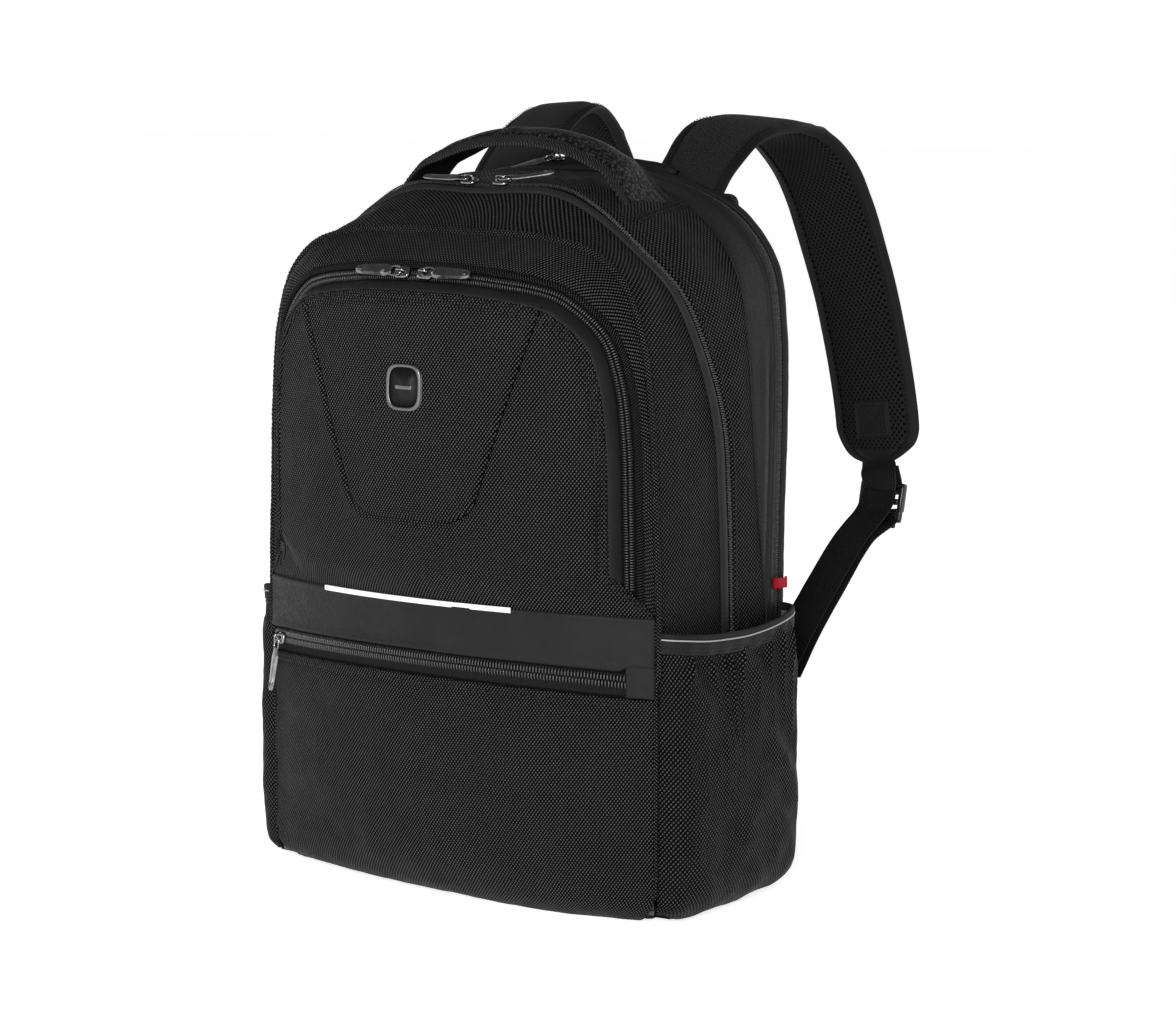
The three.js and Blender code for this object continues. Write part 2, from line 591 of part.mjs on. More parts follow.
function webbing() {
  const curve = new THREE.CatmullRomCurve3(WEB_PATH.map(vec), false, 'centripetal');
  const rings = [];
  for (let i = 0; i <= 12; i += 1) {
    const t = i / 12;
    const tangent = curve.getTangent(t);
    const side = new THREE.Vector3(1, 0.1, 0).addScaledVector(tangent, -tangent.x).normalize();
    side.addScaledVector(tangent, -side.dot(tangent)).normalize();
    const normal = new THREE.Vector3().crossVectors(tangent, side);
    const half = (WEB_WIDTH / 2) * lerpTable([[0, 1], [0.8, 1], [1, 0.7]], t);
    rings.push(slabRing(curve.getPoint(t), side, normal, half, WEB_THICK / 2, 0.5));
  }
  return loft(rings);
}

function strapPieces() {
  pair('strap_pad', 'weave', union(strapPad(), strapTongue()));
  pair('ladder_lock', 'plastic', ladderLock());
  pair('strap_webbing', 'webbing', webbing());
}

// ---------------------------------------------------------------- zip sliders and pulls
function sliderSolid(crosswise = false) {
  const body = prismLocal([[-5.5, -2.6], [-3, -4], [4, -4], [5.8, -2], [5.8, 2], [4, 4], [-3, 4],
    [-5.5, 2.6]], 0.6, 2.8);
  const arch = new THREE.Shape([[-3.6, 2.6], [-3.6, 5.2], [-2.4, 6.5], [2.4, 6.5], [3.6, 5.2], [3.6, 2.6],
    [2.4, 2.6], [2.4, 4.9], [1.9, 5.4], [-1.9, 5.4], [-2.4, 4.9], [-2.4, 2.6]]
    .map(([u, w]) => new THREE.Vector2(u, w)));
  const bridge = new THREE.ExtrudeGeometry(arch, { depth: 1.6, bevelEnabled: false, steps: 1 });
  bridge.rotateX(Math.PI / 2);
  bridge.translate(0, 0.8, 0);
  if (crosswise) bridge.rotateZ(Math.PI / 2);
  return union(body, bridge);
}

function prismLocal(outline, w0, w1, hole = null, bevel = 0) {
  const shape = new THREE.Shape(outline.map(([u, v]) => new THREE.Vector2(u, v)));
  if (hole) shape.holes.push(new THREE.Path(hole.map(([u, v]) => new THREE.Vector2(u, v))));
  const geometry = new THREE.ExtrudeGeometry(shape, {
    depth: w1 - w0 - 2 * bevel, bevelEnabled: bevel > 0, bevelSize: bevel, bevelThickness: bevel,
    bevelSegments: 1, bevelOffset: -bevel, steps: 1,
  });
  geometry.translate(0, 0, w0 + bevel);
  return geometry;
}

const PULL_LENGTH = 34;
function pullSolid() {
  const outline = [[-0.8, -4.1], [12, -4.1], [PULL_LENGTH - 3, -3.2], [PULL_LENGTH, -1.8],
    [PULL_LENGTH, 1.8], [PULL_LENGTH - 3, 3.2], [12, 4.1], [-0.8, 4.1]];
  const hole = [[0.7, -2.8], [7.6, -2.8], [7.6, 2.8], [0.7, 2.8]];
  return prismLocal(outline, 3.25, 4.75, hole, 0.35);
}

// Places a local solid (u along the zip, v across it, w outward) at a point of the pack.
function placed(solid, origin, u, w, yaw = 0, pitch = 0) {
  const geometry = solid.clone();
  if (pitch) {
    geometry.translate(0, 0, -4);
    geometry.rotateY(pitch);
    geometry.translate(0, 0, 4);
  }
  geometry.rotateZ(yaw);
  const U = vec(u).normalize();
  const W = vec(w).normalize();
  const V = new THREE.Vector3().crossVectors(W, U);
  geometry.applyMatrix4(new THREE.Matrix4().makeBasis(U, V, W));
  geometry.translate(origin[0], origin[1], origin[2]);
  return geometry;
}

function arcPoint(apex, rise, fall, radius, x) {
  const length = Math.hypot(rise, fall);
  const angle = Math.asin(x / radius);
  const depth = radius * (1 - Math.cos(angle));
  return {
    at: [x, apex[1] - (rise / length) * depth * -1, apex[2] - (fall / length) * depth],
    along: [Math.cos(angle), Math.sin(angle) * (rise / length), -Math.sin(angle) * (fall / length)],
  };
}

function zipSliders() {
  const degrees = THREE.MathUtils.degToRad;
  const slider = sliderSolid();
  const pull = pullSolid();
  const set = (name, origin, along, out, turned, yaw) => {
    add(`${name}_slider`, 'metal', placed(slider, origin, along, out, turned ? Math.PI : 0));
    add(`${name}_pull`, 'metal', placed(pull, origin, along, out, (turned ? Math.PI : 0) + degrees(yaw)));
  };
  const mainOut = [0, -0.34, 0.94];
  set('main_left', [-12, -46.3, 440.6], [1, 0, 0], mainOut, true, 0);
  set('main_right', [12, -46.3, 440.6], [1, 0, 0], mainOut, false, 22);
  for (const [name, x, turned] of [['pocket_left', -8.5, true], ['pocket_right', 8.5, false]]) {
    const spot = arcPoint([0, -118.3, 389.4], 40, 14.6, 271, x);
    set(name, spot.at, spot.along, [0, -0.86, 0.51], turned, 0);
  }
  set('laptop_left', [-19, 56, 450.4], [1, 0, 0], [0, 0, 1], true, 35);
  set('laptop_right', [4, 56, 450.4], [1, 0, 0], [0, 0, 1], false, -20);
  const spot = arcPoint([0, -116.9, 153.3], 38.8, 6.1, 300, -134);
  const out = new THREE.Vector3(0, -0.98, 0.2);
  const along = vec(spot.along).normalize();
  out.addScaledVector(along, -out.dot(along)).normalize();
  add('lower_slider', 'metal', placed(sliderSolid(true), spot.at, spot.along, out.toArray(), Math.PI));
  add('lower_pull', 'metal', placed(pull, spot.at, spot.along, out.toArray(), -Math.PI / 2));
}

lowerBody();
lowerFront();
sidePockets();
bodyHoops();
frontPieces();
backPieces();
handlePieces();
strapPieces();
zipSliders();

export default pack;
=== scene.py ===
"""Visual model of a school backpack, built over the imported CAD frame. Working units are millimetres,
turned to metres when a mesh is made. +Z up, front towards -Y."""
import math

import bpy
import numpy as np
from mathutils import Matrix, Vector


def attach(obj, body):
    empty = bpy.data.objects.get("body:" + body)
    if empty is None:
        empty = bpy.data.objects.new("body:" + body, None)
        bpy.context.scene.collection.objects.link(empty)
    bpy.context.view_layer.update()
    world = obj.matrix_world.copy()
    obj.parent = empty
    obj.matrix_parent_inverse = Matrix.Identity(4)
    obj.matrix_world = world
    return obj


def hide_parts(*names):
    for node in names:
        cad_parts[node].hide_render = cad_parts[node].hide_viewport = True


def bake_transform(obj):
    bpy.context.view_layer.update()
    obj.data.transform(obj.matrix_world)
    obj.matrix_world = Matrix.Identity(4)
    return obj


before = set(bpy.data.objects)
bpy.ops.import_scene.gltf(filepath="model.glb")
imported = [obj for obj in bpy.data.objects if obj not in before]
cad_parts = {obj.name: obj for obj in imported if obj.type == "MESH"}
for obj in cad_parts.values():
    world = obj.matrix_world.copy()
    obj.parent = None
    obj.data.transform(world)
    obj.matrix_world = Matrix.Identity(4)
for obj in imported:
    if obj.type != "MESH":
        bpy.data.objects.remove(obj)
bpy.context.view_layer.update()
MM = 0.001

# ---------------------------------------------------------------- camera, light and floor
AZIMUTH, ELEVATION, DISTANCE = math.radians(34.55), math.radians(8.4), 2.054
TARGET = Vector((0.0445, 0.0, 0.233))


def make_camera():
    data = bpy.data.cameras.new("camera")
    data.lens, data.sensor_width = 100, 36
    data.clip_start, data.clip_end = 0.05, 50
    cam = bpy.data.objects.new("camera", data)
    bpy.context.scene.collection.objects.link(cam)
    back = Vector((math.sin(AZIMUTH) * math.cos(ELEVATION), -math.cos(AZIMUTH) * math.cos(ELEVATION),
                   math.sin(ELEVATION)))
    cam.location = TARGET + back * DISTANCE
    cam.rotation_mode = "QUATERNION"
    cam.rotation_quaternion = (-back).to_track_quat("-Z", "Y")
    bpy.context.scene.camera = cam


def area_light(name, place, aim, size, power):
    data = bpy.data.lights.new(name, "AREA")
    data.shape, data.size, data.size_y = "RECTANGLE", size[0], size[1]
    data.energy = power
    light = bpy.data.objects.new(name, data)
    bpy.context.scene.collection.objects.link(light)
    light.location = place
    light.rotation_mode = "QUATERNION"
    light.rotation_quaternion = (Vector(aim) - Vector(place)).to_track_quat("-Z", "Y")


def make_studio():
    world = bpy.data.worlds.new("studio")
    bpy.context.scene.world = world
    world.use_nodes = True
    background = world.node_tree.nodes["Background"]
    background.inputs["Color"].default_value = (1, 1, 1, 1)
    nodes, links = world.node_tree.nodes, world.node_tree.links
    split, height = nodes.new("ShaderNodeSeparateXYZ"), nodes.new("ShaderNodeMapRange")
    links.new(nodes.new("ShaderNodeTexCoord").outputs["Generated"], split.inputs[0])
    for socket, v in (("From Min", 0.16), ("From Max", 0.34), ("To Min", 1.05), ("To Max", 0.16)):
        height.inputs[socket].default_value = v
    links.new(split.outputs["Z"], height.inputs["Value"])
    links.new(height.outputs[0], background.inputs["Strength"])
    area_light("key", (1.05, -2.35, 1.25), (0, 0, 0.25), (0.8, 1.0), 56)
    area_light("fill", (-2.3, -1.2, 0.9), (0, 0, 0.2), (0.7, 1.3), 5)
    area_light("rear", (0.4, 2.4, 1.2), (0, 0, 0.3), (2.2, 1.4), 11)
    floor = bpy.data.meshes.new("studio_floor")
    reach = 12.0
    floor.from_pydata([(x * reach, y * reach, 0) for x, y in ((-1, -1), (1, -1), (1, 1), (-1, 1))], [],
                      [(0, 1, 2, 3)])
    obj = bpy.data.objects.new("studio_floor", floor)
    bpy.context.scene.collection.objects.link(obj)
    obj.location.z = -0.0004
    material = bpy.data.materials.new("studio_floor")
    material.use_nodes = True
    shader = material.node_tree.nodes["Principled BSDF"]
    shader.inputs["Base Color"].default_value = (0.8, 0.8, 0.8, 1)
    shader.inputs["Emission Color"].default_value = (1, 1, 1, 1)
    shader.inputs["Emission Strength"].default_value = 0.8
    shader.inputs["Roughness"].default_value = 0.9
    shader.inputs["Specular IOR Level"].default_value = 0.1
    floor.materials.append(material)


make_camera()
make_studio()
bpy.context.scene.view_settings.view_transform = "Standard"

# ---------------------------------------------------------------- dimensions of the pack, mm
HALF_WIDTH, SEAM_Y, ARC_R = 147.0, -78.0, 300.0
BULGE = [[0, 14], [10, 24], [25, 33], [70, 41], [146, 38], [160, 38.5], [190, 43], [300, 46], [372, 43],
         [389, 40], [402, 25], [414, 8]]
ARCH = [[0, 0], [60, 3], [146, 6], [192, 4], [206, 3], [230, 0], [500, 0]]
KEYS_FRONT = [[148, -77, 150], [148, -77, 188], [146, -77, 245], [143.5, -77.5, 300], [138, -78.5, 350],
              [125, -79.5, 385], [104, -81.5, 403], [72, -84, 411], [36, -85.6, 413], [0, -86, 413]]
KEYS_ZIP = [[147, 8, 150], [147, 5, 188], [148, 1, 245], [148, -6, 300], [146, -24, 345],
            [137, -36, 378], [112, -42, 404], [84, -45, 427], [58, -46, 439], [0, -46, 439]]
KEYS_TRIM = [[148.5, 46, 150], [149.5, 40, 188], [150.5, 30, 245], [150.5, 23, 300], [149, 19, 350],
             [143, 18, 384], [122, 24, 411], [88, 30, 432], [48, 33, 444], [0, 34, 446]]
KEYS_BACK = [[149, 64, 150], [149, 64, 188], [150, 64, 245], [151.5, 64, 300], [150.5, 64, 350],
             [144, 64, 391], [121, 64, 421], [86, 64, 438], [48, 64, 447], [0, 64, 449]]
KEYS_POCKET = [[133.5, 206], [133, 250], [132, 295], [128.5, 328], [119.5, 356], [97, 377],
               [80, 382.6], [56, 386], [36, 388], [0, 389]]
STRAP_PATH = [
    [[72, 92, 454], [1, 0.05, 0]], [[72, 106, 464], [1, 0.1, -0.02]], [[72.5, 124, 471], [1, 0.2, -0.05]],
    [[75.5, 146, 473], [1, 0.3, -0.08]], [[79.5, 168, 469], [1, 0.33, -0.1]],
    [[83, 188, 459], [1, 0.3, -0.1]], [[86.5, 206, 442.5], [1, 0.2, -0.08]],
    [[89.5, 218, 422], [1, 0.12, -0.06]], [[96, 228, 388], [1, 0.08, 0]], [[102.5, 235, 354], [1, 0.06, 0]],
    [[109.5, 242, 306], [1, 0.05, 0.02]], [[113.3, 245, 272], [1, 0.05, 0.03]],
    [[114, 245, 254], [1, 0.05, 0.03]], [[115, 244.5, 245], [1, 0.05, 0.03]]]
LOCK_AT = np.array([120, 241, 219.0])
WEB_PATH = [[120.6, 229, 216], [120.4, 199, 200], [120.5, 162, 173], [121.5, 126.6, 146], [122.5, 102, 126],
            [123, 92, 119]]
HANDLE_HALF, HANDLE_TOP, HANDLE_Y = 97.0, 474.0, -0.5
SIDES = ((1, "right"), (-1, "left"))


# ---------------------------------------------------------------- numbers and curves
def unit(v):
    return v / np.maximum(np.linalg.norm(v, axis=-1, keepdims=True), 1e-9)


def heading(line):
    """Direction of travel at each point of a line."""
    return unit(np.gradient(line, axis=0))


def arc_of(line):
    """Distance travelled along a line, mm."""
    return np.concatenate([[0], np.cumsum(np.linalg.norm(np.diff(line, axis=0), axis=1))])


def ramp(v):
    return np.clip(v, 0, 1)


def bell(v, width):
    return np.exp(-(v / width) ** 2)


def lattice(*spans):
    """Grid of values over spans of (first, last, count)."""
    return np.meshgrid(*(np.linspace(*span) for span in spans), indexing="ij")


def facing(p, axis, sign):
    """One normal along a coordinate axis for every point."""
    n = np.zeros_like(p)
    n[..., axis] = sign
    return n


def rough(points, scale, seed=0):
    """Smooth value noise in -1..1 at points, with features about scale mm across."""
    p = np.asarray(points, float) / scale + seed * 17.31
    i = np.floor(p).astype(np.int64)
    f = p - i
    f = f * f * (3 - 2 * f)
    out = np.zeros(p.shape[:-1])
    for dx in (0, 1):
        for dy in (0, 1):
            for dz in (0, 1):
                h = ((i[..., 0] + dx) * 374761393 + (i[..., 1] + dy) * 668265263
                     + (i[..., 2] + dz) * 2147483647 + seed * 1013904223) & 0xFFFFFFFF
                h = ((h ^ (h >> 13)) * 1274126177) & 0xFFFFFFFF
                h = ((h ^ (h >> 16)) & 0xFFFF) / 32767.5 - 1
                w = ((f[..., 0] if dx else 1 - f[..., 0]) * (f[..., 1] if dy else 1 - f[..., 1])
                     * (f[..., 2] if dz else 1 - f[..., 2]))
                out += h * w
    return out


def crinkle(a, b, seed, scale=1.0):
    """Value noise over two coordinates."""
    return rough(np.stack([a, b, a * 0], -1), scale, seed)


def catmull(points, t):
    """Centripetal curve through points at t in 0..1."""
    p = np.asarray(points, float)
    p = np.vstack([2 * p[0] - p[1], p, 2 * p[-1] - p[-2]])
    n = len(p) - 3
    s = np.clip(np.asarray(t, float) * n, 0, n - 1e-9)
    k = s.astype(int)
    w = (s - k)[:, None]
    a, b, c, d = p[k], p[k + 1], p[k + 2], p[k + 3]
    d0, d1, d2 = (np.maximum(np.linalg.norm(y - x, axis=1, keepdims=True) ** 0.5, 1e-6)
                  for x, y in ((a, b), (b, c), (c, d)))
    t1 = ((b - a) / d0 - (c - a) / (d0 + d1) + (c - b) / d1) * d1
    t2 = ((c - b) / d1 - (d - b) / (d1 + d2) + (d - c) / d2) * d1
    return b + t1 * w + (-3 * b + 3 * c - 2 * t1 - t2) * w ** 2 + (2 * b - 2 * c + t1 + t2) * w ** 3


def smooth_table(table, sigma):
    """A table as a smooth function, rounded over sigma mm."""
    xs = np.arange(table[0][0] - 60, table[-1][0] + 60, 1.0)
    ys = np.interp(xs, [a for a, _ in table], [b for _, b in table])
    k = np.exp(-0.5 * (np.arange(-30, 31) / sigma) ** 2)
    ys = np.convolve(np.pad(ys, 30, mode="edge"), k / k.sum(), "valid")
    return lambda v: np.interp(v, xs, ys)


bulge, arch = smooth_table(BULGE, 3.5), smooth_table(ARCH, 8)
CHORD = math.sqrt(ARC_R ** 2 - HALF_WIDTH ** 2)


def crown(x):
    return np.maximum(0, (np.sqrt(np.maximum(0, ARC_R ** 2 - np.asarray(x) ** 2)) - CHORD) / (ARC_R - CHORD))


def front_point(x, z, lift=0.0):
    """Point of the bulging front over x and z, lift mm proud of it."""
    x, z = np.broadcast_arrays(np.asarray(x, float), np.asarray(z, float))

    def place(a, b):
        return np.stack([a, SEAM_Y - bulge(b) * crown(a), b + arch(b) * crown(a)], -1)

    p = place(x, z)
    n = np.cross(place(x + 0.5, z) - place(x - 0.5, z), place(x, z + 0.5) - place(x, z - 0.5))
    n = unit(n)
    return p + n * np.asarray(lift)[..., None], n


def both_sides(keys, count):
    """Curve through the keys on one side and back down the other."""
    half = catmull(keys, np.linspace(0, 1, count))
    return np.vstack([half, half[-2::-1] * ([-1] + [1] * (half.shape[1] - 1))])


HOOP = 121
LINE = {"front": both_sides(KEYS_FRONT, HOOP), "zip": both_sides(KEYS_ZIP, HOOP),
        "trim": both_sides(KEYS_TRIM, HOOP), "back": both_sides(KEYS_BACK, HOOP)}


def skin_at(y):
    """Points of the upper body's outside at one depth per station; y has shape (stations,)."""
    stops = [LINE[k] for k in ("front", "zip", "trim", "back")]
    out = np.array(stops[0])
    for a, b in zip(stops, stops[1:]):
        w = ramp((y - a[:, 1]) / (b[:, 1] - a[:, 1]))[:, None]
        out = np.where((y >= a[:, 1])[:, None], a + (b - a) * w, out)
    out[:, 1] = y
    return out


def hoop_grid(y0, y1, across):
    """Grid (stations, across+1, 3) of the body's outside between two depths, with outward normals."""
    ts = np.linspace(0, 1, across + 1)
    p = np.stack([skin_at(y0 + (y1 - y0) * t) for t in ts], 1)
    along = np.gradient(p, axis=0)
    n = np.stack([along[..., 2], np.zeros(p.shape[:2]), -along[..., 0]], -1)
    n = unit(n)
    for _ in range(3):
        n[1:-1] = (n[:-2] + n[1:-1] * 2 + n[2:]) / 4
    n = unit(n)
    return p, n


def lengths(p, axis):
    d = np.linalg.norm(np.diff(p, axis=axis), axis=-1)
    pad = [(0, 0), (0, 0)]
    pad[axis] = (1, 0)
    return np.pad(np.cumsum(d, axis=axis), pad)


def grid_uv(p):
    """Arc-length coordinates in mm, so that a weave keeps its size."""
    u = lengths(p, 0)
    v = lengths(p, 1)
    middle = p.shape[1] // 2
    return np.stack([np.repeat(u[:, middle:middle + 1], p.shape[1], 1), v], -1)


def edge_distance(points, line):
    """Shortest distance in the XZ plane from points (..., 2) to an open polyline (n, 2)."""
    flat = points.reshape(-1, 2)
    best = np.full(len(flat), 1e9)
    for a, b in zip(line[:-1], line[1:]):
        d = b - a
        t = ramp(((flat - a) @ d) / max(d @ d, 1e-12))
        best = np.minimum(best, np.linalg.norm(flat - a - t[:, None] * d, axis=1))
    return best.reshape(points.shape[:-1])


# ---------------------------------------------------------------- meshes
MATERIAL = {}


def make_object(name, verts, faces, uv, materials, index=None, smooth=True):
    """Mesh object from mm vertices; uv is per vertex in mm and becomes metres."""
    mesh = bpy.data.meshes.new(name)
    mesh.from_pydata((np.asarray(verts) * MM).tolist(), [], [list(map(int, f)) for f in faces])
    for m in materials:
        mesh.materials.append(MATERIAL[m])
    if index is not None:
        mesh.polygons.foreach_set("material_index", np.asarray(index, np.int32))
    if smooth:
        mesh.polygons.foreach_set("use_smooth", np.ones(len(mesh.polygons), bool))
    if uv is not None:
        layer = mesh.uv_layers.new(name="UVMap")
        loops = np.empty(len(mesh.loops), np.int32)
        mesh.loops.foreach_get("vertex_index", loops)
        layer.data.foreach_set("uv", (np.asarray(uv)[loops] * MM).astype(np.float32).ravel())
    mesh.update()
    obj = bpy.data.objects.new(name, mesh)
    bpy.context.scene.collection.objects.link(obj)
    return obj


def grid_faces(rows, cols, close_rows=False, close_cols=False):
    i = np.arange(rows if close_rows else rows - 1)
    j = np.arange(cols if close_cols else cols - 1)
    a, b = np.meshgrid(i, j, indexing="ij")
    a, b = a.ravel(), b.ravel()
    a1, b1 = (a + 1) % rows, (b + 1) % cols
    return np.stack([a * cols + b, a1 * cols + b, a1 * cols + b1, a * cols + b1], 1)


def sheet_piece(name, p, n, thick, materials, face_material=None, uv=None):
    """Closed sheet: outside grid p with outward normals n, thick mm through."""
    rows, cols = p.shape[:2]
    uv = grid_uv(p) if uv is None else uv
    inner = p - n * thick
    verts = np.concatenate([p.reshape(-1, 3), inner.reshape(-1, 3)])
    size = rows * cols
    turn = -1 if np.dot(np.cross(p[1, 0] - p[0, 0], p[0, 1] - p[0, 0]), n[0, 0]) < 0 else 1
    outer_faces = grid_faces(rows, cols)[:, ::turn]
    inner_faces = outer_faces[:, ::-1] + size
    ring = ([(0, j) for j in range(cols)] + [(i, cols - 1) for i in range(1, rows)]
            + [(rows - 1, j) for j in range(cols - 2, -1, -1)] + [(i, 0) for i in range(rows - 2, 0, -1)])
    ids = np.array([i * cols + j for i, j in ring])
    nxt = np.roll(ids, -1)
    rim = np.stack([ids, nxt, nxt + size, ids + size], 1)[:, ::turn]
    faces = np.concatenate([outer_faces, inner_faces, rim])
    fm = np.zeros(len(outer_faces), int) if face_material is None else np.asarray(face_material).ravel()
    index = np.concatenate([fm, np.full(len(inner_faces), len(materials) - 1),
                            np.zeros(len(rim), int)])
    return make_object(name, verts, faces, np.concatenate([uv.reshape(-1, 2)] * 2), materials, index)


def tube_mesh(path, radius, sides=8, up=(0, 0, 1)):
    """Closed tube along a path; radius may vary; returns verts, faces, uv."""
    path = np.asarray(path, float)
    t = heading(path)
    ref = np.broadcast_to(np.asarray(up, float), path.shape)
    a = np.cross(t, ref)
    a = unit(a)
    b = np.cross(a, t)
    r = np.broadcast_to(np.asarray(radius, float), (len(path),))[:, None]
    verts, uv = [], []
    along = arc_of(path)
    for k in range(sides):
        c, s = math.cos(2 * math.pi * k / sides), math.sin(2 * math.pi * k / sides)
        verts.append(path + (a * c + b * s) * r)
        uv.append(np.stack([along, np.full(len(path), k * 2 * math.pi * float(r.mean()) / sides)], 1))
    verts = np.stack(verts, 1).reshape(-1, 3)
    uv = np.stack(uv, 1).reshape(-1, 2)
    return verts, tube_faces(len(path), sides), uv


def tube_faces(rows, cols):
    """Faces of a closed tube of rows rings, with both ends capped."""
    caps = [list(range(cols))[::-1], [(rows - 1) * cols + k for k in range(cols)]]
    return [list(f) for f in grid_faces(rows, cols, close_cols=True)] + caps


class Heap:
    """Collects many small closed shapes into one mesh."""

    def __init__(self):
        self.verts, self.faces, self.count = [], [], 0

    def add(self, verts, faces):
        self.verts.append(np.asarray(verts, float))
        self.faces.extend([[int(i) + self.count for i in f] for f in faces])
        self.count += len(verts)

    def add_tube(self, path, radius, sides, up):
        verts, faces, _ = tube_mesh(path, radius, sides, up)
        self.add(verts, outward(verts, faces))

    def object(self, name, material, smooth=True):
        return make_object(name, np.concatenate(self.verts), self.faces, np.zeros((self.count, 2)),
                           [material], smooth=smooth)


def settle(obj, body=None, replaces=(), blend=None):
    """Attaches a finished piece to its body; a piece with a blend is baked in place instead."""
    if replaces:
        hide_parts(*replaces)
    if blend:
        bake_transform(obj)
    else:
        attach(obj, body)
    return obj


def closed_piece(name, verts, faces, uv, materials, body=None, replaces=(), blend=None):
    obj = make_object(name, verts, outward(verts, faces), uv.reshape(-1, 2), materials)
    return settle(obj, body, replaces, blend)


def tube_piece(name, path, radius, sides, material, body=None, blend=None, up=(0, 0, 1)):
    verts, faces, uv = tube_mesh(path, radius, sides, up)
    return closed_piece(name, verts, faces, uv, [material], body, blend=blend)


def sheet(name, p, n, thick, materials, body=None, replaces=(), blend=None, face_material=None):
    return settle(sheet_piece(name, p, n, thick, materials, face_material), body, replaces, blend)


def even_normals(line, normal):
    return np.tile(normal, (len(line), 1))


def stitched(name, seams, body=None, blend=None, material="thread"):
    """One piece of stitching; each seam holds what sew() takes after the heap."""
    heap = Heap()
    for seam in seams:
        sew(heap, *seam)
    settle(heap.object(name, material), body, blend=blend)


# ---------------------------------------------------------------- materials
class Net:
    """Small helper for procedural materials; texture coordinates are metres of real cloth."""

    def __init__(self, name, colour, roughness, metallic=0.0, specular=0.5, sheen=0.0):
        self.material = bpy.data.materials.new(name)
        self.material.use_nodes = True
        self.nodes, self.links = self.material.node_tree.nodes, self.material.node_tree.links
        self.shader = self.nodes["Principled BSDF"]
        self.set("Base Color", (*colour, 1))
        self.set("Roughness", roughness)
        self.set("Metallic", metallic)
        self.set("Specular IOR Level", specular)
        self.set("Sheen Weight", sheen)
        self.set("Sheen Roughness", 0.5)
        self.coords = self.nodes.new("ShaderNodeTexCoord")
        MATERIAL[name] = self.material

    def set(self, socket, value):
        self.shader.inputs[socket].default_value = value

    def put(self, socket, value):
        if isinstance(value, (int, float)):
            socket.default_value = value
        else:
            self.links.new(value, socket)

    def math(self, operation, a, b=0.0, c=0.0):
        node = self.nodes.new("ShaderNodeMath")
        node.operation = operation
        for i, v in enumerate((a, b, c)):
            self.put(node.inputs[i], v)
        return node.outputs[0]

    def uv(self):
        node = self.nodes.new("ShaderNodeSeparateXYZ")
        self.links.new(self.coords.outputs["UV"], node.inputs[0])
        return node.outputs[0], node.outputs[1]

    def noise(self, scale, detail=2.0, space="Object", stretch=None):
        node = self.nodes.new("ShaderNodeTexNoise")
        node.inputs["Scale"].default_value = scale
        node.inputs["Detail"].default_value = detail
        vector = self.coords.outputs[space]
        if stretch:
            mapping = self.nodes.new("ShaderNodeMapping")
            mapping.inputs["Scale"].default_value = stretch
            self.links.new(vector, mapping.inputs[0])
            vector = mapping.outputs[0]
        self.links.new(vector, node.inputs["Vector"])
        return node.outputs[0]

    def between(self, value, low, high, out_low, out_high):
        node = self.nodes.new("ShaderNodeMapRange")
        node.interpolation_type = "SMOOTHSTEP"
        for socket, v in zip(("Value", "From Min", "From Max", "To Min", "To Max"),
                             (value, low, high, out_low, out_high)):
            self.put(node.inputs[socket], v)
        return node.outputs[0]

    def shade(self, value, dark, light):
        node = self.nodes.new("ShaderNodeMix")
        node.data_type = "RGBA"
        self.put(node.inputs[0], value)
        node.inputs[6].default_value = (*dark, 1)
        node.inputs[7].default_value = (*light, 1)
        self.links.new(node.outputs[2], self.shader.inputs["Base Color"])

    def rough(self, value):
        self.links.new(value, self.shader.inputs["Roughness"])

    def mottle(self, scale, detail, dark, light):
        self.shade(self.between(self.noise(scale, detail), 0.3, 0.7, 0, 1), dark, light)

    def gloss(self, scale, detail, low, high, stretch=None, top=0.7):
        self.rough(self.between(self.noise(scale, detail, stretch=stretch), 0.3, top, low, high))

    def grain(self, scale, detail, depth_mm, strength=1.0, stretch=None):
        self.bump(self.noise(scale, detail, stretch=stretch), depth_mm, strength)

    def bump(self, height, depth_mm, strength=1.0):
        node = self.nodes.new("ShaderNodeBump")
        node.inputs["Distance"].default_value = depth_mm * MM
        node.inputs["Strength"].default_value = strength
        self.links.new(height, node.inputs["Height"])
        if self.shader.inputs["Normal"].links:
            self.links.new(self.shader.inputs["Normal"].links[0].from_socket, node.inputs["Normal"])
        self.links.new(node.outputs[0], self.shader.inputs["Normal"])

    def wave(self, coordinate, period_mm):
        return self.math("SINE", self.math("MULTIPLY_ADD", coordinate, 2 * math.pi / (period_mm * MM), 0.0))

    def checks(self, period_mm):
        """Plain weave: one wave along u times one along v."""
        u, v = self.uv()
        return self.math("MULTIPLY", self.wave(u, period_mm), self.wave(v, period_mm))

    def twill(self, period_mm):
        u, v = self.uv()
        return self.wave(self.math("ADD", u, v), period_mm)


WEAVE = 1.1
# BLACK is the cloth's own black and also stands for the painted shade between the weave's dots; the dot
# colour is a painted highlight.
BLACK = (0.0008, 0.0008, 0.0009)
DOT_PAINTED_HIGHLIGHT = (0.092, 0.092, 0.094)


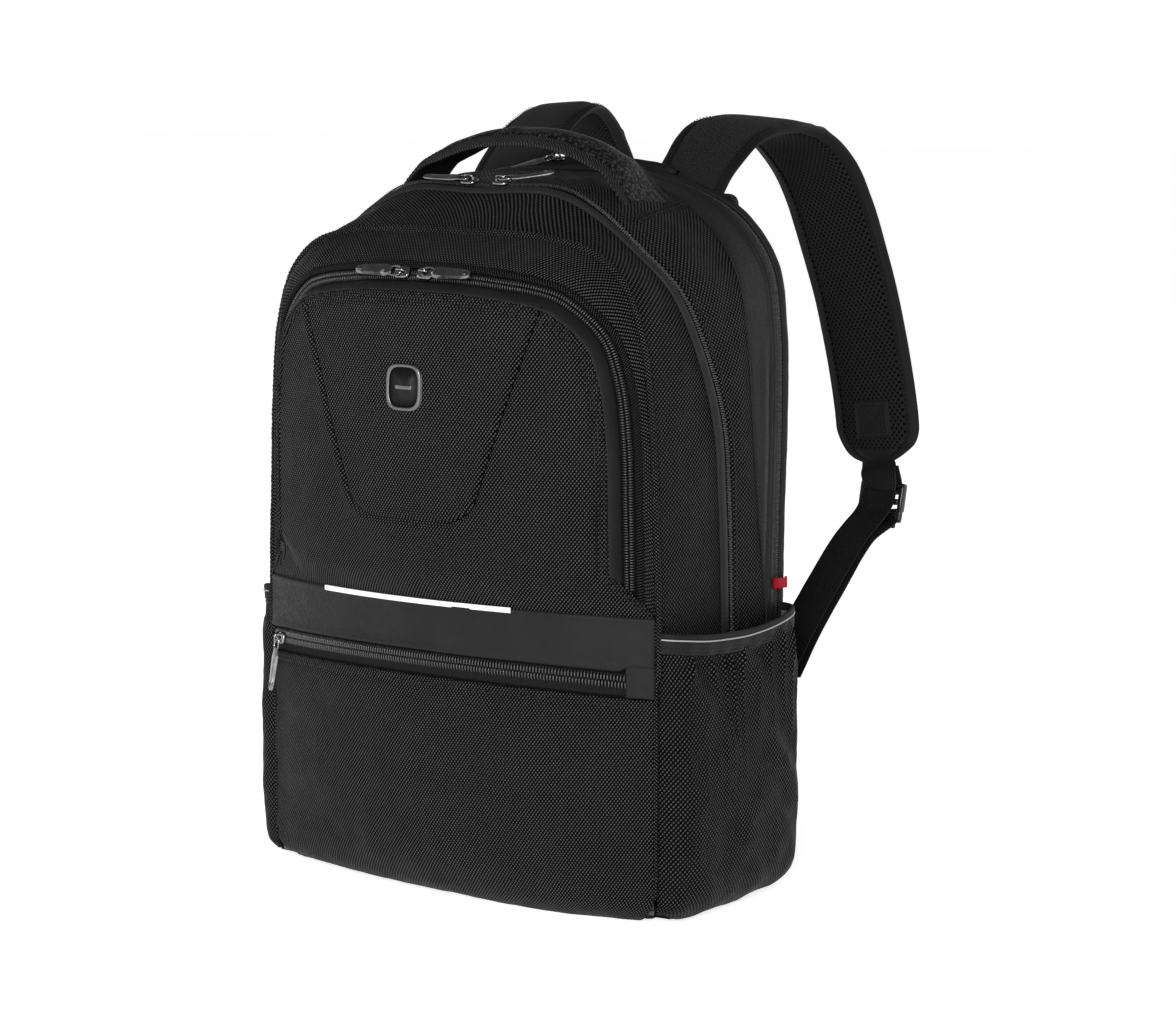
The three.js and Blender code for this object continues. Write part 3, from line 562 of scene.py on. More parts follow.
def ballistic(name, dark, light, period=WEAVE, tall=1.32):
    """Coarse weave: leaning rows of raised dots, each dot a bundle of strands; the dots are painted light as
    highlights and the gaps near black as painted shade.
    """
    net = Net(name, dark, 0.6, specular=0.04)
    u, v = net.uv()
    wobble = net.math("MULTIPLY", net.math("SUBTRACT", net.noise(500, 1, "UV"), 0.5), 0.00022)
    u = net.math("ADD", u, wobble)
    w = net.math("MULTIPLY", v, 1 / tall)
    rows = net.math("MULTIPLY", net.wave(net.math("SUBTRACT", u, w), 2 * period), 0.58)
    columns = net.math("MULTIPLY", net.wave(net.math("ADD", u, w), 2 * period), 0.42)
    strand = net.math("MULTIPLY", net.wave(net.math("ADD", u, v), period * 0.34), 0.08)
    height = net.math("ADD", net.math("ADD", rows, columns), strand)
    # Raised dots painted light as a highlight and gaps dark as painted shade, times a random mottle.
    painted_highlight_tone = net.math("MULTIPLY", net.between(height, 0.06, 0.8, 0, 1),
                    net.between(net.noise(26, 3), 0.3, 0.75, 0.9, 1.06))
    net.shade(painted_highlight_tone, dark, light)
    net.gloss(60, 3, 0.46, 0.6)
    net.bump(height, 0.5)
    return net


ballistic("weave", BLACK, DOT_PAINTED_HIGHLIGHT)
# Side weave with its own wider, flatter rows; its dots are painted darker than the front's, as painted shade
# on the sides.
ballistic("weave_side_painted_shade", BLACK, (0.072, 0.072, 0.0737), 1.45, 1.1)
ballistic("weave_fine", BLACK, (0.056, 0.056, 0.0573), 0.85)

net = Net("smooth", (0.012, 0.012, 0.0124), 0.5, specular=0.12)
net.mottle(38, 4, (0.0115, 0.0115, 0.0119), (0.0145, 0.0145, 0.0149))
net.gloss(420, 3, 0.42, 0.58)
net.bump(net.checks(0.5), 0.025)
net.grain(260, 4, 0.16, 0.6)

net = Net("flap", (0.016, 0.016, 0.0164), 0.5, specular=0.12)
net.mottle(60, 3, (0.0145, 0.0145, 0.015), (0.0185, 0.0185, 0.019))
net.grain(320, 3, 0.1, 0.6)

net = Net("smooth_dark", (0.007, 0.007, 0.0072), 0.6, specular=0.16)
net.mottle(45, 4, (0.0055, 0.0055, 0.0058), (0.0085, 0.0085, 0.0088))
net.grain(480, 3, 0.12, 0.6)

net = Net("rib", BLACK, 0.62, specular=0.14)
ru, rv = net.uv()
lines = net.wave(net.math("MULTIPLY_ADD", ru, 0.62, rv), 1.35)
cross = net.math("MULTIPLY", net.wave(net.math("MULTIPLY_ADD", rv, -0.62, ru), 0.62), 0.35)
ribs = net.math("ADD", lines, cross)
# Painted highlight on the ridges and painted shade in the furrows between them.
net.shade(net.between(ribs, -0.8, 1.1, 0, 1), (0.0014, 0.0014, 0.0015), (0.044, 0.044, 0.045))
net.bump(ribs, 0.3)

net = Net("rib_edge", (0.0065, 0.0065, 0.0068), 0.58, specular=0.14)
gu, gv = net.uv()
net.bump(net.wave(net.math("MULTIPLY_ADD", gu, 0.5, gv), 0.9), 0.07)
net.grain(300, 3, 0.12, 0.6)

net = Net("pebble", BLACK, 0.5, specular=0.14)
cells = net.nodes.new("ShaderNodeTexVoronoi")
cells.inputs["Scale"].default_value = 520
net.links.new(net.coords.outputs["UV"], cells.inputs["Vector"])
dome = net.math("SUBTRACT", 1.0, cells.outputs["Distance"])
# Pebble domes painted lighter as highlights, the gaps between them dark as painted shade.
net.shade(net.between(dome, 0.35, 0.95, 0, 1), (0.0015, 0.0015, 0.0016), (0.046, 0.046, 0.047))
net.bump(dome, 0.5)

net = Net("spacer", (0.004, 0.004, 0.0042), 0.75, specular=0.05)
mu, mv = net.uv()
hole = net.math("MULTIPLY", net.math("COSINE", net.math("MULTIPLY", mu, math.pi / 0.0017)),
                net.math("COSINE", net.math("MULTIPLY", mv, math.pi / 0.0023)))
pit = net.between(hole, 0.12, 0.5, 1, 0)
thread = net.math("MULTIPLY", net.wave(net.math("ADD", mu, mv), 0.6), 0.16)
# Painted shade: the mesh pits are near black and the faces between them lighter.
net.shade(pit, (0.0002, 0.0002, 0.0003), (0.0175, 0.0175, 0.018))
net.bump(net.math("ADD", pit, thread), 0.8)

net = Net("webbing", (0.006, 0.006, 0.0063), 0.55, specular=0.1)
wu, wv = net.uv()
twill = net.math("ADD", net.wave(wu, 1.5), net.math("MULTIPLY", net.wave(net.math("ADD", wv, wu), 1.7), 0.8))
# Raised twill ribs painted lighter as highlights, the grooves darker as painted shade.
net.shade(net.between(twill, -1.3, 1.6, 0, 1), (0.0015, 0.0015, 0.0016), (0.017, 0.017, 0.0175))
net.bump(twill, 0.3)

net = Net("coil", (0.034, 0.034, 0.035), 0.26, specular=0.7)
net.gloss(700, 2, 0.22, 0.36)
net.grain(2400, 2, 0.04, 0.5)

net = Net("tape", (0.004, 0.004, 0.0042), 0.7, specular=0.05)
tu, tv = net.uv()
warp, weft = net.math("ADD", tu, tv), net.math("SUBTRACT", tu, tv)
tape = net.math("MULTIPLY", net.wave(warp, 1.3), net.wave(weft, 1.3))
# Black tape painted darker still, as shade between the coil's teeth, with painted highlights on its raised
# threads.
net.shade(net.between(tape, -0.8, 0.9, 0, 1), (0.001, 0.001, 0.0011), (0.010, 0.010, 0.0104))
net.bump(tape, 0.2)

# Lit copy of the zip tape for the strip below the lower coil, painted lighter as lit, with painted
# highlights on its twill.
net = Net("tape_painted_lit", (0.012, 0.012, 0.0124), 0.7, specular=0.05)
twill = net.twill(1.1)
net.shade(net.between(twill, -1, 1, 0, 1), (0.006, 0.006, 0.0062), (0.019, 0.019, 0.0196))
net.bump(twill, 0.15)

net = Net("thread", (0.010, 0.010, 0.0104), 0.45, specular=0.3)
net.grain(3000, 1, 0.05)

net = Net("seam_shadow", (0.0035, 0.0035, 0.0036), 0.9, specular=0.0)
net.grain(2000, 1, 0.05)

net = Net("lining", (0.075, 0.077, 0.083), 0.7, specular=0.25, sheen=0.1)
plain = net.checks(0.7)
net.shade(net.between(plain, -0.9, 0.9, 0, 1), (0.052, 0.053, 0.058), (0.096, 0.098, 0.106))
net.bump(plain, 0.08)
net.grain(40, 4, 0.8, 0.4)

net = Net("lining_mesh", (0.03, 0.031, 0.034), 0.7, specular=0.25)
net_holes = net.checks(1.6)
net.shade(net.between(net_holes, -0.6, 0.6, 0, 1), (0.012, 0.012, 0.0135), (0.06, 0.061, 0.066))
net.bump(net_holes, 0.15)

net = Net("badge", (0.17, 0.17, 0.175), 0.4, metallic=1.0)
net.gloss(900, 3, 0.28, 0.46, (1, 1, 14))
net.grain(1200, 2, 0.02, 0.6, (1, 1, 20))

net = Net("badge_inlay", (0.006, 0.006, 0.0063), 0.5, specular=0.2)
net.grain(900, 2, 0.05)

net = Net("gunmetal", (0.24, 0.24, 0.246), 0.14, metallic=1.0)
net.shade(net.between(net.noise(180, 3), 0.35, 0.7, 0, 1), (0.18, 0.18, 0.185), (0.30, 0.30, 0.307))
net.gloss(420, 3, 0.08, 0.2, top=0.75)

net = Net("dark_metal", (0.07, 0.07, 0.074), 0.2, metallic=1.0)
net.gloss(500, 3, 0.14, 0.32, top=0.75)

net = Net("plastic", (0.005, 0.005, 0.0053), 0.28, specular=0.4)
net.gloss(240, 3, 0.24, 0.4)
net.grain(1500, 2, 0.03, 0.5)

net = Net("reflective", (0.80, 0.80, 0.81), 0.36, specular=0.6)
net.shade(net.between(net.checks(0.6), -1, 1, 0, 1), (0.72, 0.72, 0.73), (0.90, 0.90, 0.91))
# The piping's pale colour is its own; the emission is a painted glow, since the piping is no lamp.
net.set("Emission Color", (1, 1, 1, 1))
net.set("Emission Strength", 0.12)

net = Net("reflective_line", (0.34, 0.34, 0.35), 0.42, specular=0.5)
net.grain(2500, 1, 0.04)

net = Net("red", (0.42, 0.003, 0.014), 0.55, specular=0.1)
twill = net.twill(0.8)
net.shade(net.between(twill, -1, 1, 0, 1), (0.32, 0.002, 0.010), (0.50, 0.004, 0.020))
net.bump(twill, 0.12)

net = Net("red_thread", (0.20, 0.003, 0.008), 0.6, specular=0.3)
net.grain(3000, 1, 0.05)


# ---------------------------------------------------------------- small repeated shapes
def capsule(half, radius, rings=4, sides=6):
    """Rounded rod along local x."""
    verts, faces = [], []
    angles = np.linspace(0, math.pi, rings + 2)[1:-1]
    for a in angles:
        x = -math.cos(a) * half
        r = radius * math.sin(a) ** 0.6
        for k in range(sides):
            t = 2 * math.pi * k / sides
            verts.append([x, r * math.cos(t), r * math.sin(t)])
    faces = [list(f) for f in grid_faces(rings, sides, close_cols=True)]
    verts += [[-half, 0, 0], [half, 0, 0]]
    first, last = len(verts) - 2, len(verts) - 1
    for k in range(sides):
        faces.append([first, (k + 1) % sides, k])
        faces.append([last, (rings - 1) * sides + k, (rings - 1) * sides + (k + 1) % sides])
    return np.array(verts), faces


def outward(verts, faces):
    """Faces turned so that the closed shape's volume is positive."""
    volume = 0.0
    v = np.asarray(verts)
    for f in faces:
        for i in range(1, len(f) - 1):
            volume += np.dot(v[f[0]], np.cross(v[f[i]], v[f[i + 1]]))
    return faces if volume > 0 else [list(f)[::-1] for f in faces]


def scatter(heap, shape, places, along, out):
    """Copies of a small shape (local x along, z out) at many places."""
    verts, faces = shape
    faces = outward(verts, faces)
    along = unit(along)
    out = out - along * np.sum(along * out, 1, keepdims=True)
    out = unit(out)
    across = np.cross(out, along)
    for p, a, c, o in zip(places, along, across, out):
        heap.add(p + verts[:, :1] * a + verts[:, 1:2] * c + verts[:, 2:3] * o, faces)


def resample(line, step=None, count=None):
    line = np.asarray(line, float)
    s = arc_of(line)
    count = count or max(2, int(round(s[-1] / step)) + 1)
    t = np.linspace(0, s[-1], count)
    return np.stack([np.interp(t, s, line[:, k]) for k in range(line.shape[1])], 1)


def sew(heap, line, normals, pitch=3.3, length=2.3, radius=0.34, height=0.25, seed=1):
    """Stitches along a line lying on cloth."""
    both = resample(np.hstack([line, normals]), step=pitch)
    p, n = both[:, :3], both[:, 3:]
    t = np.gradient(p, axis=0)
    p = p + unit(n) * height
    t = unit(t)
    t = t + np.cross(n, t) * 0.06 * rough(p, 5, seed)[:, None]
    scatter(heap, capsule(length / 2, radius, 4, 5), p, t, n)


def teeth(heap, line, normals, side, pitch, reach, radius, height, shift=0.0):
    """One half of a coil: loops that start at the middle and run out on one side of it."""
    both = resample(np.hstack([line, normals]), step=pitch)
    if shift:
        both = both[:-1] + (both[1:] - both[:-1]) * shift
    p, n = both[:, :3], both[:, 3:]
    n = unit(n)
    t = heading(p)
    c = np.cross(n, t) * side
    path = np.array([[0.12, -0.2], [0.2, 0.6], [reach * 0.3, 1.0], [reach * 0.6, 0.95], [reach * 0.88, 0.45],
                     [reach, -0.4]])
    radii = np.array([0.8, 1.1, 1.05, 0.95, 0.9, 0.8]) * radius
    sides = 5
    verts = []
    for (a, h), r in zip(path, radii):
        for k in range(sides):
            q = 2 * math.pi * k / sides
            verts.append([a, math.cos(q) * r, h * height + math.sin(q) * r])
    scatter(heap, (np.array(verts), tube_faces(len(path), sides)), p, c, n)


def closed_coil(name, line, normals, *tooth):
    """Both halves of a shut zip, set half a pitch apart."""
    heap = Heap()
    teeth(heap, line, normals, 1, *tooth)
    teeth(heap, line, normals, -1, *tooth, 0.5)
    settle(heap.object(name, "coil"), "pack")


def rounded_box(heap, centre, axes, half, radius, cuts=3):
    """Soft-edged block: a cube's grid pushed onto a rounded box."""
    verts, faces, seen = [], [], {}
    half = np.array(half, float)
    inner = np.maximum(half - radius, 1e-3)

    def vertex(p):
        key = tuple(np.round(p, 4))
        if key not in seen:
            q = np.array(p) * half
            core = np.clip(q, -inner, inner)
            d = q - core
            norm = np.linalg.norm(d)
            q = core + d / norm * radius if norm > 1e-9 else q
            seen[key] = len(verts)
            verts.append(centre + q @ np.array(axes, float))
        return seen[key]

    near_edge = 0.94
    steps = np.unique(np.concatenate([np.linspace(-1, 1, cuts + 2), [-1, -near_edge, near_edge, 1]]))
    for axis in range(3):
        for sign in (-1, 1):
            a, b = [k for k in range(3) if k != axis]
            for i in range(len(steps) - 1):
                for j in range(len(steps) - 1):
                    quad = []
                    for s, t in ((i, j), (i + 1, j), (i + 1, j + 1), (i, j + 1)):
                        p = [0, 0, 0]
                        p[axis], p[a], p[b] = sign, steps[s], steps[t]
                        quad.append(vertex(p))
                    faces.append(quad if (sign > 0) == (axis != 1) else quad[::-1])
    heap.add(verts, outward(verts, faces))


# ---------------------------------------------------------------- the body's hoops
def wrinkled(p, big, small, seed):
    return big * rough(p, 38, seed) + small * rough(p, 13, seed + 1) + small * 0.45 * rough(p, 6, seed + 2)


def hoop(y0, y1, across):
    p, n = hoop_grid(y0, y1, across)
    v = np.broadcast_to(np.linspace(0, 1, across + 1), p.shape[:2])
    return p, n, v


ZY, TY = LINE["zip"][:, 1], LINE["trim"][:, 1]
FLAP = np.interp(LINE["zip"][:, 2], [300, 380, 439], [11.6, 9.0, 6.8])
# Blends name the two bodies and the two places between which a piece passes from one to the other.
FRONT_BLEND = ("pack", "front_section", (0, 0, 166), (0, 0, 196))
DOOR_BLEND = ("front_pocket_door", "front_section", (0, 0, 225), (0, 0, 195))
BAND_BLEND = ("pack", "front_section", (0, 0, 170), (0, 0, 188.5))


def ribs_near(p, width, seed):
    """Fine puckers at right angles to the seam at the grid's first column, fading over width mm."""
    s = lengths(p, 0)
    d = lengths(p, 1)
    q = np.stack([s / 5.5, d / 26, np.zeros_like(s)], -1)
    return rough(q, 1.0, seed) * np.exp(-d / width)


def gusset_front():
    p, n, v = hoop(LINE["front"][:, 1] + 0.4, ZY - FLAP + 1.6, 32)
    lift = 1.9 * np.sin(np.pi * ramp(v)) ** 0.8 + wrinkled(p, 1.3, 0.4, 3) * np.sin(np.pi * v) ** 0.5
    lift += 0.55 * ribs_near(p, 9, 5) + 0.35 * ribs_near(p[:, ::-1], 7, 6)[:, ::-1]
    p = p + n * lift[..., None]
    sheet("front_gusset_skin", p, n, 2.4, ["weave_side_painted_shade", "lining"],
          replaces=["front_gusset"], blend=FRONT_BLEND)


def front_roll():
    """Rolled seam edge all round the front section, of the same weave."""
    seam = LINE["front"]
    n = hoop_grid(seam[:, 1], seam[:, 1] + 2, 1)[1][:, 0]
    line = resample(np.hstack([seam, n]), step=1.0)
    line, n = line[:, :3], unit(line[:, 3:])
    centre = line + n * 0.9 + np.array([0, -0.4, 0])
    tangent = heading(centre)
    b = np.cross(n, tangent)
    rows = []
    for k in range(14):
        q = 2 * math.pi * k / 14
        twist = np.sin(2 * np.pi * (np.arange(len(centre)) / 3.1 + k / 7.0))
        r = 1.75 + 0.2 * twist + 0.2 * rough(centre, 4.5, 11 + k // 3)
        rows.append(centre + (n * math.cos(q) * 1.15 + b * math.sin(q)) * r[:, None])
    grid = np.stack(rows, 1)
    along = lengths(grid, 0)[:, :1]
    uv = np.stack([np.repeat(along, 14, 1), np.broadcast_to(np.arange(14) * 0.95, grid.shape[:2])], -1)
    closed_piece("front_seam_roll", grid.reshape(-1, 3), tube_faces(len(line), 14), uv, ["weave"],
                 replaces=["front_piping"], blend=FRONT_BLEND)


def main_zip():
    p, n, v = hoop(ZY - FLAP, ZY - 2.6, 10)
    lift = 0.2 + 2.2 * np.sin(np.pi * ramp(v * 0.9 + 0.1)) ** 0.7 + wrinkled(p, 0.25, 0.12, 21)
    q = p + n * lift[..., None]
    sheet("main_zip_flap", q, n, 1.6, ["flap"], replaces=["main_zip_front"],
          blend=FRONT_BLEND)
    stitched("main_zip_flap_stitching", [(q[:, 2], n[:, 2], 3.4, 2.3, 0.3, 0.15)],
             blend=FRONT_BLEND)
    for name, a, b, side, near in (("front", -4.4, -0.15, -1, True), ("rear", 0.15, 4.6, 1, False)):
        p, n, v = hoop(ZY + a, ZY + b, 4)
        q = p - n * 0.5
        blend = FRONT_BLEND if near else None
        body = None if near else "pack"
        sheet(f"main_zip_tape_{name}", q, n, 0.8, ["tape"], body,
              [] if near else ["main_zip_rear"], blend=blend)
        heap = Heap()
        line = p[:, 4 if near else 0] + n[:, 0] * 0.35
        teeth(heap, line, n[:, 2], side, 1.6, 1.6, 0.4, 1.0, 0.0 if near else 0.5)
        settle(heap.object(f"main_zip_coil_{name}", "coil"), body, blend=blend)


def gusset_rear():
    p, n, v = hoop(ZY + 2.5, TY - 0.2, 24)
    d = lengths(p, 1)
    lift = 0.4 + 1.5 * np.sin(np.pi * ramp(v)) ** 0.8 + 0.9 * bell(d - 2.0, 1.5)
    lift += wrinkled(p, 1.5, 0.4, 31) * np.sin(np.pi * v) ** 0.5 + 0.45 * ribs_near(p, 8, 33)
    q = p + n * lift[..., None]
    sheet("rear_gusset_skin", q, n, 2.4, ["weave_side_painted_shade", "lining"], "pack",
          ["rear_gusset"])
    stitched("rear_gusset_stitching", [(q[:, 3], n[:, 3], 3.4, 2.3, 0.3, 0.05)], "pack")


def laptop_side():
    p, n, v = hoop(TY + 0.1, np.full(len(TY), 52.6), 44)
    d = lengths(p, 1)
    back = d[:, -1:] - d
    lift = 0.9 + 0.7 * np.sin(np.pi * v) ** 0.6 - 0.8 * bell(back - 7.0, 0.9) \
        + 0.5 * bell(back - 8.8, 1.1) - 0.5 * np.exp(-d / 1.4) + wrinkled(p, 0.5, 0.1, 41)
    low = ramp((350 - p[..., 2]) / 30)
    lift += low * (-1.0 * bell(p[..., 1] - 41, 0.8) + 0.9 * bell(p[..., 1] - 35, 4.0))
    q = p + n * lift[..., None]
    sheet("laptop_trim_skin", q, n, 2.2, ["smooth", "lining"], "pack", ["laptop_trim"])
    stitched("laptop_trim_stitching", [(q[:, k], n[:, k], 3.2, 2.1, 0.3, 0.1) for k in (2, -4)],
             "pack")
    p, n, v = hoop(np.full(len(TY), 52.8), np.full(len(TY), 59.0), 6)
    q = p - n * (1.0 - 0.5 * np.abs(2 * v - 1))[..., None]
    sheet("laptop_zip_tape", q, n, 0.8, ["tape"], "pack", ["laptop_zip"])
    closed_coil("laptop_zip_coil", q[:, 3] + n[:, 3] * 0.2, n[:, 3], 1.5, 2.1, 0.44, 0.6)


# ---------------------------------------------------------------- front panels
def diagonal(x):
    """Height at which the door's lower corner seam crosses a given x."""
    return 214.0 - np.clip(np.abs(x) - 124.0, 0, 26)


def pocket_line(offset, count=261):
    """The pocket's zip line moved outward in the plane of the front, cut along the corner seam."""
    half = catmull([[133.7, 186]] + KEYS_POCKET, np.linspace(0, 1, 220))
    t = heading(half)
    half = half + np.stack([t[:, 1], -t[:, 0]], 1) * offset
    half = half[half[:, 1] > diagonal(half[:, 0])]
    half = np.vstack([[half[0, 0], diagonal(half[0, 0])], half])
    half[-1, 0] = 0
    full = np.vstack([half, half[-2::-1] * [-1, 1]])
    return resample(full, count=count)


def front_strip(offset_a, offset_b, across, lift_fn):
    """Grid between two offsets of the pocket line, on the bulging front."""
    a, b = pocket_line(offset_a), pocket_line(offset_b)
    w = np.linspace(0, 1, across + 1)
    xz = a[:, None] * (1 - w)[None, :, None] + b[:, None] * w[None, :, None]
    base, n = front_point(xz[..., 0], xz[..., 1])
    v = np.broadcast_to(w, base.shape[:2])
    return base + n * lift_fn(base, v)[..., None], n


def pocket_zip():
    for name, a, b, side, body, node in (("frame", 0.15, 4.6, -1, "front_section", "pocket_zip_frame"),
                                         ("door", -0.15, -4.8, 1, "front_pocket_door", "pocket_zip_door")):
        p, n = front_strip(a, b, 4, lambda q, w: -1.5 + 0.35 * w)
        blend = DOOR_BLEND if name == "door" else None
        sheet(f"pocket_zip_tape_{name}", p, n, 0.9, ["tape"], body, [node], blend=blend)
        heap = Heap()
        teeth(heap, p[:, 0] + n[:, 0] * 0.6, n[:, 0], side, 1.62, 3.0, 0.45, 1.0, 0.0 if side > 0 else 0.5)
        settle(heap.object(f"pocket_zip_coil_{name}", "coil"), body, blend=blend)


def front_frame():
    """Creased strip of weave between the pocket's zip and the rolled seam."""
    inner = pocket_line(7.2)
    edge = resample(both_sides([[148, -77, 189.0]] + KEYS_FRONT[2:], 131), count=len(inner))
    w = np.linspace(0, 1, 17)
    flat = edge[:, [0, 2]]
    xz = flat[:, None] * (1 - w)[None, :, None] + inner[:, None] * w[None, :, None]
    base, n = front_point(xz[..., 0], xz[..., 1])
    shift = edge - front_point(edge[:, 0], edge[:, 2])[0]
    base = base + shift[:, None] * ((1 - w) ** 2)[None, :, None]
    v = np.broadcast_to(w, base.shape[:2])
    s = lengths(base, 0)
    width = lengths(base, 1)[:, -1:]
    crease = crinkle(s / 11 + lengths(base, 1) / 16, v * 1.2, 52)
    lift = 0.1 + 0.9 * np.sin(np.pi * v) ** 0.7 + 0.9 * crease * np.sin(np.pi * v) ** 0.5 \
        - 0.9 * bell((1 - v) * width, 1.6) + wrinkled(base, 0.45, 0.25, 53)
    p = base + n * lift[..., None]
    sheet("front_frame_skin", p, n, 2.0, ["weave", "lining"], "front_section",
          ["front_frame"])
    q, m = front_strip(4.0, 8.2, 6, lambda b, w: -0.7 + 1.9 * np.sin(np.pi * ramp(w * 0.85 + 0.15)))
    sheet("pocket_zip_guard", q, m, 1.4, ["weave_fine"], "front_section")


def inside(points, polygon):
    """Even-odd test of points (n, 2) in a closed polygon."""
    x, y = points[:, 0], points[:, 1]
    result = np.zeros(len(points), bool)
    a, b = polygon, np.roll(polygon, -1, axis=0)
    for (x0, y0), (x1, y1) in zip(a, b):
        if y0 == y1:
            continue
        hit = ((y0 > y) != (y1 > y)) & (x < (x1 - x0) * (y - y0) / (y1 - y0) + x0)
        result ^= hit
    return result


def nearest_on(points, polygon):
    best = np.full(len(points), 1e9)
    place = points.copy()
    closed = np.vstack([polygon, polygon[:1]])
    for a, b in zip(closed[:-1], closed[1:]):
        d = b - a
        t = ramp(((points - a) @ d) / max(d @ d, 1e-12))
        q = a + t[:, None] * d
        r = np.linalg.norm(points - q, axis=1)
        better = r < best
        best[better], place[better] = r[better], q[better]
    return place, best


def flat_at(y, out):
    """Upright plane at a depth, facing along Y, for patch_piece."""
    return lambda x, z: (np.stack([x, np.full_like(x, y), z], -1),
                         np.broadcast_to(np.array([0.0, out, 0.0]), x.shape + (3,)))


def patch_piece(name, polygon, step, lift_fn, thick, materials, surface=None):
    """Closed sheet cut to a polygon in x and z, on the bulging front or another surface."""
    low, high = polygon.min(0), polygon.max(0)
    nx, nz = (int(round(k)) + 1 for k in (high - low) / step)
    xs, zs = np.linspace(low[0], high[0], nx), np.linspace(low[1], high[1], nz)
    gx, gz = np.meshgrid(xs, zs, indexing="ij")
    flat = np.stack([gx, gz], -1).reshape(-1, 2)
    cells = grid_faces(nx, nz)
    centre = flat[cells].mean(1)
    keep = inside(centre, polygon)
    cells = cells[keep]
    count = np.zeros(len(flat), int)
    np.add.at(count, cells.ravel(), 1)
    edge = (count > 0) & (count < 4)
    moved, _ = nearest_on(flat[edge], polygon)
    flat[edge] = moved
    used = np.unique(cells)
    remap = -np.ones(len(flat), int)
    remap[used] = np.arange(len(used))
    cells, flat = remap[cells], flat[used]
    _, distance = nearest_on(flat, polygon)
    surface = surface or front_point
    base, n = surface(flat[:, 0], flat[:, 1])
    p = base + n * lift_fn(base, flat, distance)[:, None]
    size = len(flat)
    faces = cells if np.dot(np.cross(p[cells[0][1]] - p[cells[0][0]], p[cells[0][2]] - p[cells[0][0]]),
                            n[cells[0][0]]) > 0 else cells[:, ::-1]
    pairs = np.stack([faces, np.roll(faces, -1, axis=1)], -1).reshape(-1, 2)
    keys = {tuple(k) for k in pairs.tolist()}
    rim = [[a, b] for a, b in pairs.tolist() if (b, a) not in keys]
    rim_faces = [[b, a, a + size, b + size] for a, b in rim]
    both = [list(f) for f in faces] + [list(f[::-1] + size) for f in faces] + rim_faces
    index = np.concatenate([np.zeros(len(faces), int), np.full(len(faces), len(materials) - 1),
                            np.zeros(len(rim_faces), int)])
    arc = ARC_R * np.arcsin(np.clip(flat[:, 0] / ARC_R, -1, 1))
    uv = np.stack([arc, flat[:, 1]], 1)
    return make_object(name, np.concatenate([p, p - n * thick]), both, np.concatenate([uv, uv]), materials,
                       index)


def rounded_line(points, radius, steps=6):
    """Polyline with its inner corners rounded."""
    p = np.asarray(points, float)
    out = [p[0]]
    for a, b, c in zip(p[:-2], p[1:-1], p[2:]):
        u, w = (a - b) / np.linalg.norm(a - b), (c - b) / np.linalg.norm(c - b)
        r = min(radius, np.linalg.norm(a - b) * 0.45, np.linalg.norm(c - b) * 0.45)
        for k in range(steps + 1):
            t = k / steps
            out.append((b + u * r) * (1 - t) ** 2 + b * 2 * t * (1 - t) + (b + w * r) * t * t)
    out.append(p[-1])
    return np.array(out)


V_SEAM = rounded_line([[-88.5, 378], [-45, 250], [-31, 241.5], [31, 241.5], [45, 250], [88.5, 378]], 13)
DOOR_EDGE, RAISE_EDGE, RAISE_IN = -9.4, 7.2, 4.6


def door_outline():
    line = pocket_line(DOOR_EDGE, 241)
    return np.vstack([[146.6, 186.0], [146.6, 191.4], line, [-146.6, 191.4], [-146.6, 186.0]])


def door_raise(x, z, inside_by=0.0):
    """How far the padded door stands off the front, none at its foot and lower corners."""
    foot = 187 + 17 * ramp((np.abs(x) - 96) / 24)
    t = ramp((z - foot) / 22)
    return (RAISE_IN + (RAISE_EDGE - RAISE_IN) * np.exp(-inside_by / 26)) * t * t * (3 - 2 * t)


